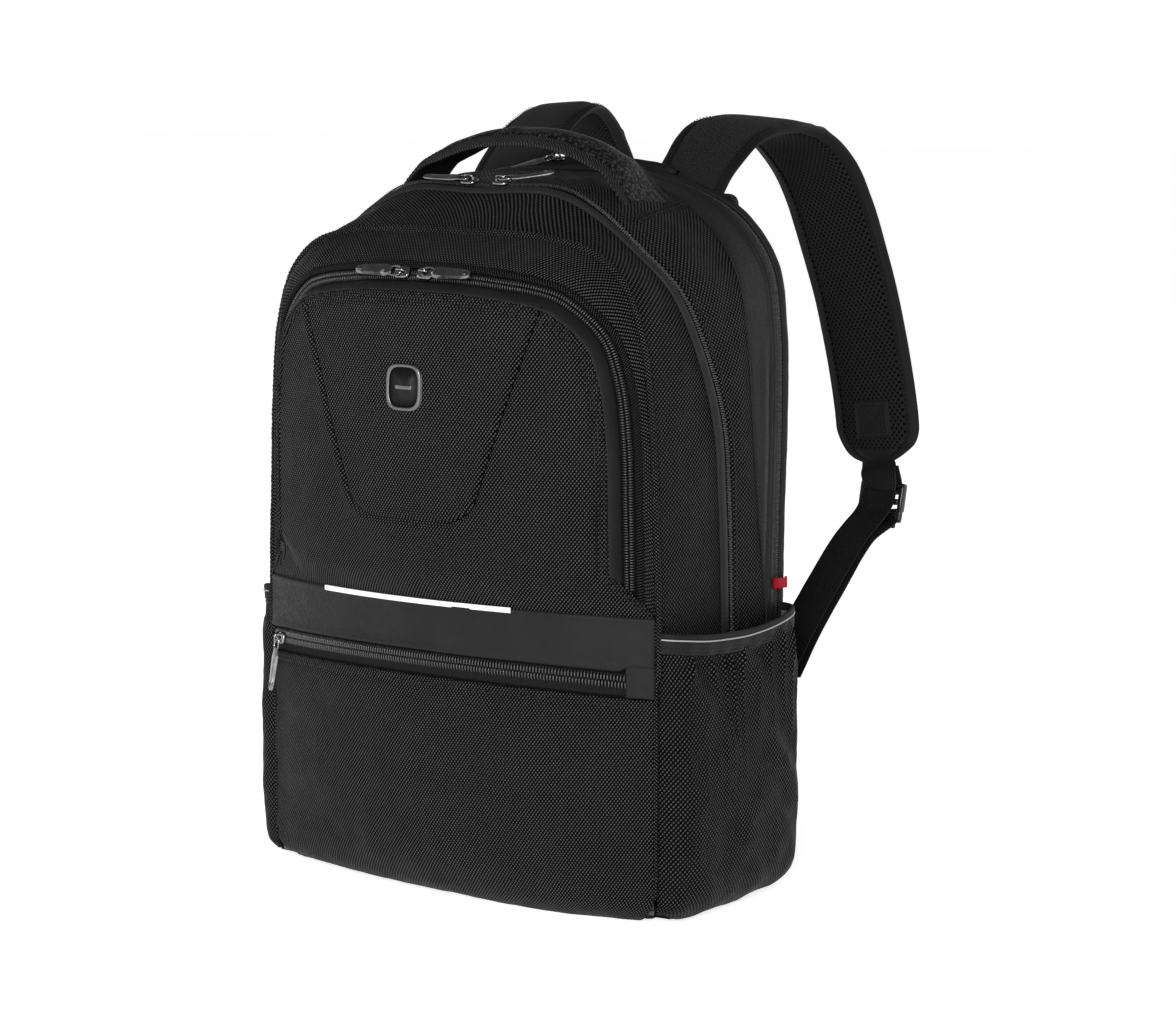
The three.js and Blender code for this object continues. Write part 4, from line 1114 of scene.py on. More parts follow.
def door():
    outline = door_outline()

    def lift(base, flat, distance):
        seam = edge_distance(flat, V_SEAM)
        foot = np.where(flat[:, 1] < 200, ramp((flat[:, 1] - 186) / 8), 1.0)
        corner = ramp((np.abs(flat[:, 0]) - 96) / 30) * ramp((230 - flat[:, 1]) / 26)
        rib = crinkle(flat[:, 0] / 3.0, flat[:, 1] / 3.0, 61)
        sewn = (flat[:, 1] > 196) * 1.0
        h = 1.2 * foot + door_raise(flat[:, 0], flat[:, 1], distance)
        h += 1.0 * (1 - np.exp(-distance / 5)) - 1.5 * ramp(1 - distance / 1.8) ** 2
        h += sewn * (-1.0 * bell(distance - 1.9, 0.8) - 1.2 * bell(distance - 6.4, 1.0)
                     + 0.45 * rib * np.exp(-distance / 5))
        h += -1.5 * bell(seam, 1.6) + 0.55 * bell(seam - 3.6, 2.0)
        h += wrinkled(base, 1.0, 0.18, 62) * ramp(distance / 20)
        crease = np.sin((np.abs(flat[:, 0]) * 0.7 + flat[:, 1] * 0.7) / 2.6 + 0.8 * rib)
        return h + 0.55 * corner * crease * ramp(distance / 6)

    obj = patch_piece("front_door_skin", outline, 1.3, lift, 2.4, ["weave", "lining"])
    settle(obj, replaces=["pocket_door"], blend=DOOR_BLEND)
    flat = resample(V_SEAM, step=1.2)
    base, n = front_point(flat[:, 0], flat[:, 1])
    depth = lift(base, flat, edge_distance(flat, outline))
    tube_piece("front_door_seam_shadow", (base + n * (depth + 0.1)[:, None])[4:-4], 0.42, 6, "seam_shadow",
               blend=DOOR_BLEND)
    seams = []
    for inset in (1.9, 4.2, 6.4):
        line = pocket_line(DOOR_EDGE - inset, 401)
        foot = np.array([[145.0, 192.2 - inset * 0.5]])
        line = np.vstack([foot, line, foot * [-1, 1]])
        lift_by = 1.75 + 0.09 * inset + door_raise(line[:, 0], line[:, 1], inset)
        p, n = front_point(line[:, 0], line[:, 1], lift_by)
        seams.append((p, n, 2.9, 1.9, 0.3, -0.1, int(inset)))
    stitched("front_door_stitching", seams, blend=DOOR_BLEND)

    def side_wall(b, w):
        rise = door_raise(b[..., 0], b[..., 2] + 5) + 0.5
        round_over = 1 - (1 - ramp(w)) ** 1.6
        return -1.3 + (rise + 1.3) * round_over + wrinkled(b, 0.2, 0.12, 64)

    p, n = front_strip(-3.5, DOOR_EDGE - 0.4, 14, side_wall)
    sheet("front_door_strip", p, n, 1.6, ["smooth"], replaces=["door_edge_strip"],
          blend=DOOR_BLEND)


def badge():
    """Plain soft-cornered plate with a raised rim and one bar."""
    place, n = front_point(np.array([0.0]), np.array([322.0]), np.array([2.7 + RAISE_IN]))
    place, n = place[0], n[0]
    right = np.array([1.0, 0, 0])
    up = unit(np.cross(n, right))
    sides, squareness = 64, 3.6
    q = np.linspace(0, 2 * math.pi, sides, endpoint=False)
    c, s = (np.sign(k) * np.abs(k) ** (2 / squareness) for k in (np.cos(q), np.sin(q)))
    rings = [(13.0, 14.2, -1.6), (13.1, 14.3, 0.2), (12.7, 13.9, 0.75), (12.2, 13.4, 0.95),
             (11.4, 12.6, 0.9), (10.9, 12.1, 0.6), (10.7, 11.9, 0.0)]
    verts = [place + right * x + up * z + n * lift for w, h, lift in rings for x, z in zip(c * w, s * h)]
    faces = [list(f) for f in grid_faces(len(rings), sides, close_cols=True)]
    verts += [place, place - n * 1.6]
    front, back, last = len(verts) - 2, len(verts) - 1, (len(rings) - 1) * sides
    for k in range(sides):
        after = (k + 1) % sides
        faces += [[last + k, last + after, front], [after, k, back]]
    index = [int(front in f) for f in faces]
    obj = make_object("badge_plate", verts, outward(verts, faces), np.zeros((len(verts), 2)),
                      ["badge", "badge_inlay"], index)
    settle(obj, "front_pocket_door", replaces=["badge"])
    heap = Heap()
    rounded_box(heap, place + n * 0.3, [right, n, up], (6.2, 0.55, 1.3), 0.5, 2)
    settle(heap.object("badge_mark", "badge"), "front_pocket_door")


# ---------------------------------------------------------------- lower front
def lower_panel():
    cols, rows, top = 170, 96, 138.4
    u = np.linspace(-1, 1, cols)
    z = np.concatenate([np.linspace(0.6, 14, 12), np.linspace(14, top, rows - 11)[1:]])
    corner = 20.0
    drop = ramp((corner - z) / corner)
    half = 146.8 - corner * (1 - np.sqrt(1 - drop ** 2))
    x = u[:, None] * half[None, :]
    zz = np.broadcast_to(z, x.shape)
    base, n = front_point(x, zz)
    curl = 14.0
    under = ramp((curl - zz) / curl)
    sag = 3.0 * ramp((70 - x) / 170) * ramp((60 - zz) / 60)
    base = base + np.stack([x * 0, curl * (1 - np.sqrt(1 - under ** 2 * 0.985)), sag], -1)
    side = 146.8 - np.abs(x)
    above = top - zz
    lift = 0.5 + 1.3 * (1 - np.exp(-side / 12)) * (1 - np.exp(-above / 10))
    lift += wrinkled(base, 1.5, 0.25, 71) * (1 - np.exp(-side / 14)) * (1 - np.exp(-above / 14))
    pucker = crinkle(side / 24, zz / 6.5, 72) * np.exp(-side / 11)
    pull = crinkle((x - 0.45 * zz) / 9, (zz + 0.45 * x) / 46, 73)
    lift += 0.8 * pucker + 0.55 * pull * np.exp(-np.abs(zz - 25) / 26)
    lift += 0.9 * bell(above - 1.2, 1.5) - 0.6 * bell(above - 6.2, 1.0)
    p = base + n * lift[..., None]
    sheet("lower_pocket_skin", p, n, 2.0, ["weave", "lining"], "pack",
          ["lower_pocket_panel"])
    line, m = front_point(np.linspace(-140, 140, 220), np.full(220, top - 4.2), np.full(220, 1.2))
    stitched("lower_pocket_stitching", [(line, m, 3.3, 2.2, 0.3, 0.0)], "pack")


BAND_LOW, COIL_Z = 154.8, 148.6


def front_band():
    x = np.linspace(-147, 147, 150)
    z = np.concatenate([np.linspace(BAND_LOW, BAND_LOW + 4, 5), np.linspace(BAND_LOW + 4, 183, 16)[1:],
                        np.linspace(183, 188.6, 7)[1:]])
    gx, gz = np.meshgrid(x, z, indexing="ij")
    right_end = ramp((gx - 128) / 5)
    gz = gz + right_end * ramp((170 - gz) / 15) * 3.6
    base, n = front_point(gx, gz)
    low, high = gz - gz[:, :1], gz[:, -1:] - gz
    lift = 1.5 + 0.9 * bell(low - 1.6, 1.8) - 0.5 * np.exp(-low / 0.7)
    lift += 0.6 * bell(high - 1.6, 1.6) - 0.7 * np.exp(-high / 0.6)
    lift += wrinkled(base, 0.7, 0.1, 81)
    p = base + n * lift[..., None]
    sheet("front_band_skin", p, n, 2.2, ["smooth", "lining"], replaces=["front_band"],
          blend=BAND_BLEND)
    x = np.linspace(-77, 66.5, 90)
    z = np.linspace(186.0, 189.3, 4)
    gx, gz = np.meshgrid(x, z, indexing="ij")
    base, n = front_point(gx, gz)
    p = base + n * (2.9 - 0.25 * np.abs(gz - 187.6)[..., None])
    sheet("reflective_piping", p, n, 0.9, ["reflective"], replaces=["reflective_strip"],
          blend=BAND_BLEND)


def lower_zip():
    x = np.linspace(-146, 134, 130)
    z = np.linspace(136.0, 158.5, 23)
    gx, gz = np.meshgrid(x, z, indexing="ij")
    base, n = front_point(gx, gz)
    p = base + n * (-0.9 + 0.06 * np.abs(gz - 148))[..., None]
    height = gz[:-1, :-1] + 0.5
    # Painted shade: tape under the coil and the band's folded edge, and along the lower panel's raised edge,
    # gets the dark tape; the strip below the coil gets the lit copy.
    dark = (np.abs(height - 148.0) > 7.6) | (height > COIL_Z - 4.2)
    sheet("lower_zip_tape", p, n, 0.9, ["tape_painted_lit", "tape"], "pack", ["lower_zip"],
          face_material=dark * 1)
    line, m = front_point(np.linspace(-144, 132, 300), np.full(300, COIL_Z), np.full(300, -0.55))
    closed_coil("lower_zip_coil", line, m, 2.0, 4.4, 0.56, 1.2)
    tab_x, tab_z = 131.2, 139.5
    gx, gz = lattice((tab_x, 146.8, 14), (tab_z, 160.5, 14))
    base, n = front_point(gx, gz)
    left = gx - tab_x
    fold = 1.9 + 0.8 * bell(left - 1.5, 1.4) - 0.8 * np.exp(-left / 0.5)
    fold += 0.5 * bell(gz - tab_z - (gx - 131) * 0.2, 1.4) + wrinkled(base, 0.4, 0.2, 83)
    p = base + n * fold[..., None]
    sheet("zip_end_patch", p, n, 2.0, ["smooth"], "pack", ["zip_end_tab"])


def base_panel():
    """Flat bottom with a soft turned-up edge."""
    half, rear, turn = 141, 62.5, 6.5
    s, t = lattice((-1, 1, 90), (0, 1, 60))
    x = s * half
    front = SEAM_Y - 9 * crown(x) + 8
    y = front + (rear - front) * t
    edge = np.minimum(np.minimum(half - np.abs(x), y - front), rear - y)
    z = 0.15 + turn * (1 - np.sqrt(1 - ramp((turn - edge) / turn) ** 2))
    z += 0.35 * (crinkle(x, y, 91, 30) + 1) * ramp(edge / 20)
    p = np.stack([x, y, z], -1)
    n = facing(p, 2, -1)
    sheet("base_skin", p, n, 3.0, ["weave", "lining"], "pack", ["base_panel"])


def lower_side_wall(s, word):
    """Upright cloth between the lower compartment and a side pocket."""
    y, z = lattice((-73.5, 60, 30), (15, 186, 34))
    p = np.stack([y * 0 + s * 146.2, y, z], -1)
    n = facing(p, 0, s)
    p = p + n * wrinkled(p, 0.5, 0.15, 95)[..., None]
    sheet(f"lower_side_wall_{word}", p, n, 2.4, ["weave", "lining"], "pack",
          ["lower_shell"] if s > 0 else [])


def inner_surfaces():
    for s, word in SIDES:
        lower_side_wall(s, word)
    lower = np.array([[144, 6], [144, 186], [-144, 186], [-144, 6]], float)
    obj = patch_piece("lower_front_lining", lower, 6, lambda b, f, d: wrinkled(b, 0.6, 0.2, 96), 1.6,
                      ["lining"], flat_at(-75.5, -1))
    settle(obj, "pack")
    inner = LINE["back"][:, [0, 2]] * [0.972, 1] - [0, 4]
    inner = np.vstack([[[142, 8]], inner, [[-142, 8]]])
    obj = patch_piece("back_lining", inner, 6, lambda b, f, d: wrinkled(b, 0.5, 0.15, 97), 1.6, ["lining"],
                      flat_at(57.5, -1))
    settle(obj, "pack")
    keys = np.array([[k[0], k[2]] for k in KEYS_FRONT[1:]], float)
    line = both_sides(keys, 60)
    line = line * [0.965, 1] - np.stack([line[:, 0] * 0, (line[:, 1] > 380) * 4.0], 1)
    line = np.vstack([[[141, 190.5]], line[line[:, 1] > 191], [[-141, 190.5]]])
    obj = patch_piece("front_inner_lining", line, 4, lambda b, f, d: 0.3 + wrinkled(b, 0.35, 0.1, 98), 1.8,
                      ["lining"], flat_at(-76.6, 1))
    settle(obj, "front_section", replaces=["front_inner_panel"])
    x, y = lattice((-138, 138, 50), (0, 1, 10))
    depth = SEAM_Y - 38 * crown(x)
    p = np.stack([x, depth + 2 + (-79.5 - depth - 2) * y, 195 + 0.6 * crinkle(x, y * 40, 99, 20)], -1)
    n = facing(p, 2, 1)
    sheet("front_pocket_floor_lining", p, n, 1.2, ["lining"], "front_section",
          ["front_pocket_floor"])
    organiser()
    divider()


def organiser():
    x, z = lattice((-112, 112, 80), (213, 318, 34))
    t = np.abs(x) / 112
    cell = np.abs(np.sin(np.pi * (x + 112) / 74.67))
    out = 2.0 + 8.5 * np.sqrt(ramp(1 - t ** 6)) * ramp((z - 213) / 25) ** 0.5 * (0.35 + 0.65 * cell ** 0.5)
    out += 0.5 * crinkle(x / 7, z / 40, 101) * np.exp(-(318 - z) / 30)
    p = np.stack([x, -75.8 + out, z], -1)
    n = facing(p, 1, 1)
    sheet("organiser_front", p, n, 1.2, ["lining_mesh", "lining"], "front_section",
          ["organiser_pocket"])
    top = np.stack([p[:, -1, 0], p[:, -1, 1] - 0.3, p[:, -1, 2]], 1)
    tube_piece("organiser_binding", resample(top, step=3), 1.5, 8, "smooth_dark",
               "front_section")


def divider():
    line = rounded_line([[0, 12], [136, 12], [136, 320], [134, 372], [108, 400], [0, 400]], 26)
    line = np.vstack([line[1:], (line * [-1, 1])[::-1][1:-1]])

    def lift(base, flat, distance):
        quilt = np.abs(np.sin(np.pi * (flat[:, 1] - 12) / 97))
        return 0.8 + 2.6 * ramp(distance / 12) ** 0.5 * (0.55 + 0.45 * quilt ** 0.35) \
            - 0.7 * bell(distance - 9, 1.4)

    obj = patch_piece("divider_pad", line, 4, lift, 5.4, ["lining"], flat_at(32.2, -1))
    settle(obj, "pack", replaces=["padded_divider"])


# ---------------------------------------------------------------- side pockets
POCKET_FRONT, POCKET_BACK = -76.5, 63.0
RIM = smooth_table([[-81, 181], [-47, 175.5], [-5, 172.5], [25, 173.5], [55, 177], [67, 179]], 8)
POCKET_HEIGHT = smooth_table([[3, 0.55], [14, 0.88], [35, 1], [70, 1], [110, 0.97], [150, 0.82], [176, 0.6]],
                              6)
POCKET_DEPTH = 24.5


def pocket_wall(y, z):
    """x of the right side pocket's cloth, before gathers."""
    t = 2 * (y - POCKET_FRONT) / (POCKET_BACK - POCKET_FRONT) - 1
    return 147.5 + POCKET_DEPTH * np.cbrt(ramp(1 - np.abs(t) ** 6)) * POCKET_HEIGHT(z)


def side_pocket(s, word):
    across = np.linspace(0, math.pi, 150)
    y = (POCKET_FRONT + POCKET_BACK) / 2 - np.cos(across) * (POCKET_BACK - POCKET_FRONT) / 2
    v = np.linspace(0, 1, 110)
    yy, vv = np.meshgrid(y, v, indexing="ij")
    low = 2.0
    zz = low + (RIM(yy) - 4.5 - low) * vv
    base = np.stack([pocket_wall(yy, zz), yy, zz], -1)
    under = ramp((13 - zz) / 13)
    base[..., 0] -= 11 * (1 - np.sqrt(1 - under ** 2 * 0.98))
    t = np.abs(2 * (yy - POCKET_FRONT) / (POCKET_BACK - POCKET_FRONT) - 1)
    end = ramp((1 - t) * 6)
    round_ends = ramp((16 - zz) / 16) ** 2 * ramp((t - 0.78) / 0.22) ** 2
    base[..., 2] += 9 * round_ends
    du, dv = np.gradient(base, axis=0), np.gradient(base, axis=1)
    n = np.cross(du, dv)
    n *= np.sign(n[..., :1] + 1e-9)
    n = unit(n)
    s_arc = lengths(base, 0)
    below = RIM(yy) - 9 - zz
    fade = np.exp(-np.clip(below, 0, None) / 30)
    spread = 0.42 * np.clip(below, 0, 70) * rough(base * [1, 1, 0], 34, 117)
    phase = 2 * np.pi * (s_arc + spread) / 13.5 + 2.4 * rough(base * [1, 1, 0.22], 24, 111)
    gathers = (1 - 1.7 * np.abs(np.sin(phase / 2)) ** 0.7) * (0.8 + 0.5 * rough(base * [1, 1, 0], 30, 112))
    diagonal_fold = crinkle((yy * 0.8 + zz * 0.6) / 13, (zz * 0.8 - yy * 0.6) / 55, 113)
    other_fold = crinkle((yy * 0.75 - zz * 0.66) / 17, (zz * 0.75 + yy * 0.66) / 60, 114)
    lift = 3.0 * gathers * fade * end * ramp(below / 9) + 1.9 * diagonal_fold * end * ramp((zz - 4) / 40) \
        + 1.5 * other_fold * end * ramp((150 - zz) / 90) + wrinkled(base, 0.7, 0.35, 115) * end
    lift += 0.5 * crinkle(t * 30, zz / 5.5, 116) * np.exp(-(1 - t) * 66 / 8)
    p = base + n * lift[..., None]
    uv = np.stack([s_arc[:, 60:61] + zz * 0, zz], -1)
    if s < 0:
        p, n = p * [-1, 1, 1], n * [-1, 1, 1]
    obj = sheet_piece(f"side_pocket_skin_{word}", p, n, 1.3, ["weave_side_painted_shade", "lining"], uv=uv)
    settle(obj, "pack", replaces=[f"side_pocket_{word}"])


def side_band(s, word):
    across = np.linspace(0, math.pi, 90)
    y = (POCKET_FRONT + POCKET_BACK) / 2 - np.cos(across) * (POCKET_BACK - POCKET_FRONT) / 2
    top = RIM(y)
    x = pocket_wall(y, top - 6)
    line = np.stack([x, y, top], 1)
    t = np.gradient(line, axis=0)
    out = np.stack([t[:, 1], -t[:, 0], t[:, 0] * 0], 1)
    out = unit(out)
    arc = arc_of(line)
    profile = [(-0.4, -11.5), (-0.4, -6), (-0.5, -1.5), (0.1, -0.2), (0.9, 0.35), (1.8, 0.1), (2.3, -0.9),
               (2.3, -2.2), (1.9, -3.4), (2.1, -4.6), (2.1, -7.5), (2.0, -9.2), (1.5, -9.9), (1.9, -10.7),
               (1.7, -12.2), (0.9, -12.8), (0.2, -12.6)]
    rows = []
    ripple = 0.45 * np.sin(2 * np.pi * arc / 17.5 + 0.7) + 0.25 * rough(line, 8, 121)
    for o, h in profile:
        wave = ripple * ramp(-h / 12)
        rows.append(line + out * (o + wave)[:, None] + np.array([0, 0, h]))
    grid = np.stack(rows, 1)
    along = np.repeat(arc[:, None], len(profile), 1)
    uv = np.stack([along, np.broadcast_to(np.array([h for _, h in profile]), along.shape)], -1)
    flip = np.array([s, 1, 1])
    closed_piece(f"side_pocket_hem_{word}", grid.reshape(-1, 3) * flip, tube_faces(len(y), len(profile)), uv,
                 ["smooth_dark"], "pack", [f"side_pocket_band_{word}"])
    core = (line + out * 2.3 + np.array([0, 0, -3.7]))[2:-2] * flip
    tube_piece(f"side_pocket_glint_{word}", resample(core, step=2.5), 0.5, 6, "reflective_line",
               "pack")
    low = (line + out * (2.0 + ripple)[:, None] + np.array([0, 0, -9.0]))[2:-2] * flip
    stitched(f"side_pocket_stitching_{word}", [(low, (out * flip)[2:-2], 3.6, 2.5, 0.34, 0.1)],
             "pack")
    edge = np.array([[147.2, -77.4, z] for z in np.linspace(17, 187, 66)])
    edge[:, 0] += 0.3 * rough(edge, 7, 122) - 6 * ramp((22 - edge[:, 2]) / 15) ** 2
    tube_piece(f"side_seam_{word}", edge * flip, 1.5 + 0.25 * rough(edge, 4, 123), 8, "weave",
               "pack", up=(0, 1, 0))


def side_floor(s, word):
    """Cloth that closes the pack's underside between the flat base and the side pocket."""
    y, w = lattice((-69, 58, 60), (0, 1, 9))
    x = 137 + (pocket_wall(y, 4.0) - 8.0 - 137) * w
    p = np.stack([x, y, 3.2 + 0.3 * crinkle(x, y, 124, 12)], -1) * [s, 1, 1]
    n = facing(p, 2, -1)
    sheet(f"side_floor_{word}", p, n, 1.6, ["weave", "lining"], "pack")
    edge = np.array([[145.4, 61.2, z] for z in np.linspace(5, 150, 60)]) * [s, 1, 1]
    tube_piece(f"rear_seam_{word}", edge, 2.2 + 0.2 * rough(edge, 5, 125), 8, "smooth_dark",
               "pack", up=(0, 1, 0))


def red_tab():
    """Small tape folded flat round the rear side seam."""
    bends = np.array([[150.6, 49.5], [152.6, 49.0], [153.2, 51], [153.0, 57], [152.6, 62], [151.4, 65.6],
                      [149.5, 66.8]])
    path = resample(bends, count=26)
    z = np.linspace(189.2, 196.0, 7)
    p = np.stack([np.stack([path[:, 0], path[:, 1], np.full(26, k)], 1) for k in z], 1)
    p[..., 2] += 0.3 * rough(p, 5, 131) - 0.08 * (p[..., 1] - 49)
    p[..., 0] += 0.25 * rough(p, 4, 132)
    d = np.gradient(p, axis=0)
    n = np.stack([d[..., 1], -d[..., 0], d[..., 0] * 0], -1)
    n = unit(n)
    sheet("red_side_tab", p, n, 0.7, ["red"], "pack", ["red_tab"])
    line = np.stack([np.full(8, 153.3), np.full(8, 51.6), np.linspace(189.6, 195.2, 8)], 1)
    stitched("red_tab_stitching", [(line, even_normals(line, [1.0, 0, 0]), 1.5, 1.0, 0.2, 0.1)],
             "pack", material="red_thread")


# ---------------------------------------------------------------- back
BACK_SHEET, PAD_SHEET = flat_at(65.2, 1), flat_at(65.9, 1)


def back_outline():
    top = LINE["back"][:, [0, 2]]
    low = [[146, 24], [138, 10], [122, 3]]
    return np.vstack([np.array(low[::-1]), top, np.array(low) * [-1, 1]])


def back_side():
    outline = back_outline()

    def lift(base, flat, distance):
        return 0.4 + 0.9 * ramp(distance / 10) ** 0.5 + wrinkled(base, 0.4, 0.2, 141)

    obj = patch_piece("back_panel_skin", outline * [0.985, 0.992] + [0, 1.4], 4, lift, 5.5,
                      ["weave", "lining"], BACK_SHEET)
    settle(obj, "pack", replaces=["back_panel"])
    line = np.array([[x, 62.6, z] for x, z in resample(np.vstack([outline, outline[:1]]), step=3.0)])
    centre = line.mean(0)
    inward = centre - line
    inward[:, 1] = 0
    inward = unit(inward)
    line = line + inward * 2.0
    rows = []
    for k in range(12):
        q = 2 * math.pi * k / 12
        rows.append(line - inward * (math.cos(q) * 2.6) + np.array([0, math.sin(q) * 3.6, 0])
                    + 0.12 * rough(line, 5, 142 + k)[:, None])
    grid = np.stack(rows, 1)[:-1]
    arc = lengths(grid, 0)
    uv = np.stack([arc, np.broadcast_to(np.arange(12) * 1.6, arc.shape)], -1)
    faces = [list(f) for f in grid_faces(len(grid), 12, close_rows=True, close_cols=True)]
    closed_piece("back_binding_roll", grid.reshape(-1, 3), faces, uv, ["smooth"], "pack",
                 ["back_binding"])
    pad(rounded_line(box_line(12, 118, 150, 396), 18), "back_pad_right_skin", "back_pad_right", 3)
    pad(rounded_line(box_line(-118, -12, 150, 396), 18), "back_pad_left_skin", "back_pad_left", 3)
    pad(rounded_line(box_line(-114, 114, 22, 138), 20), "lumbar_pad_skin", "lumbar_pad", 1)
    yoke()


def box_line(x0, x1, z0, z1):
    xm = (x0 + x1) / 2
    return [[xm, z0], [x1, z0], [x1, z1], [x0, z1], [x0, z0], [xm, z0]]


def pad(outline, name, node, ribs):
    outline = outline[:-1]
    low, high = outline[:, 1].min(), outline[:, 1].max()

    def lift(base, flat, distance):
        rise = 0.6 + 11.2 * (1 - (1 - ramp(distance / 26)) ** 2.2) ** 0.75
        if ribs > 1:
            phase = (flat[:, 1] - low) / (high - low) * ribs
            groove = np.abs(phase - np.round(phase)) * (high - low) / ribs
            inner = (phase > 0.4) & (phase < ribs - 0.4)
            rise -= 5.0 * bell(groove, 4.0) * inner
        return rise + wrinkled(base, 0.5, 0.12, 151) * ramp(distance / 12) \
            - 0.8 * bell(distance - 3.5, 1.1)

    obj = patch_piece(name, outline, 2.6, lift, 0.9, ["spacer"], PAD_SHEET)
    flatten_back(obj, 66.0)
    settle(obj, "pack", replaces=[node])
    edge = resample(np.vstack([outline, outline[:1]]), step=2.5)
    line = np.stack([edge[:, 0], np.full(len(edge), 66.9), edge[:, 1]], 1)
    tube_piece(f"{node}_piping", line, 1.5, 8, "smooth_dark", "pack", up=(0, 1, 0))


def flatten_back(obj, y):
    """Turns a curved sheet into a filled pad: its inner layer is laid flat."""
    half = len(obj.data.vertices) // 2
    for v in obj.data.vertices[half:]:
        v.co.y = y * MM


def yoke():
    outline = rounded_line(box_line(-112, 112, 404, 433), 8)[:-1]
    obj = patch_piece("strap_yoke_skin", outline, 2.6, lambda b, f, d: 3.4 + 1.6 * ramp(d / 4) ** 0.5
                      + wrinkled(b, 0.25, 0.1, 161), 4.2, ["rib", "smooth_dark"], BACK_SHEET)
    settle(obj, "pack", replaces=["strap_yoke"])
    seams = []
    for inset in (3.0, 6.5):
        edge = rounded_line(box_line(-112 + inset, 112 - inset, 404 + inset, 433 - inset), 6)
        line = np.stack([edge[:, 0], np.full(len(edge), 70.0), edge[:, 1]], 1)
        seams.append((line, even_normals(line, [0, 1.0, 0]), 3.2, 2.2, 0.32, 0.3))
    stitched("strap_yoke_stitching", seams, "pack")
    for s, word in SIDES:
        shape = rounded_line([[111, 108], [112, 97], [136, 102], [138, 122], [112, 129], [111, 108]],
                             4)[:-1] * [s, 1]
        obj = patch_piece(f"anchor_tab_{word}", shape, 2.0, lambda b, f, d: 3.8 + 1.4 * ramp(d / 3) ** 0.5
                          + wrinkled(b, 0.3, 0.1, 163), 4.2, ["rib"], BACK_SHEET)
        settle(obj, "pack", replaces=[f"webbing_anchor_{word}"])
        box = np.array([[116, 104], [133, 107], [134, 119], [116, 124], [116, 104], [134, 119], [133, 107],
                        [116, 124]]) * [s, 1]
        line = np.stack([box[:, 0], np.full(len(box), 70.7), box[:, 1]], 1)
        seam = (line, even_normals(line, [0, 1.0, 0]), 2.9, 2.0, 0.3, 0.2)
        stitched(f"anchor_stitching_{word}", [seam], "pack")


def yoke_roll():
    """Thick rolled edge of the yoke, lying along the back of the top between the straps."""
    x = np.linspace(-66, 66, 67)
    line = np.stack([x, np.full_like(x, 69.5), 449.4 - 0.0011 * x ** 2], 1)
    radius = 4.9 * (1 - (np.abs(x) / 68) ** 8) ** 0.5 + 0.25 * rough(line, 7, 165)
    tube_piece("yoke_roll", line, radius, 14, "smooth_dark", "pack")


# ---------------------------------------------------------------- handle
TOP_X, TOP_Y = np.linspace(-130, 130, 131), np.arange(-44.0, 50.0, 2.0)


def height_rows():
    rows = []
    for y in TOP_Y:
        line = skin_at(np.full(len(LINE["zip"]), y))
        top = line[line[:, 2] > 380]
        order = np.argsort(top[:, 0])
        rows.append(np.interp(TOP_X, top[order, 0], top[order, 2]))
    return np.array(rows)


TOP_Z = height_rows()


def body_top(x, y):
    """Height of the top of the body over x and y."""
    x, y = np.broadcast_arrays(np.asarray(x, float), np.asarray(y, float))
    fx = np.clip((x - TOP_X[0]) / (TOP_X[1] - TOP_X[0]), 0, len(TOP_X) - 1.001)
    fy = np.clip((y - TOP_Y[0]) / 2.0, 0, len(TOP_Y) - 1.001)
    i, j = fx.astype(int), fy.astype(int)
    a, b = fx - i, fy - j
    return ((TOP_Z[j, i] * (1 - a) + TOP_Z[j, i + 1] * a) * (1 - b)
            + (TOP_Z[j + 1, i] * (1 - a) + TOP_Z[j + 1, i + 1] * a) * b)


GRIP_HALF, PATCH_IN, PATCH_OUT = 99.5, 94.5, 101.0


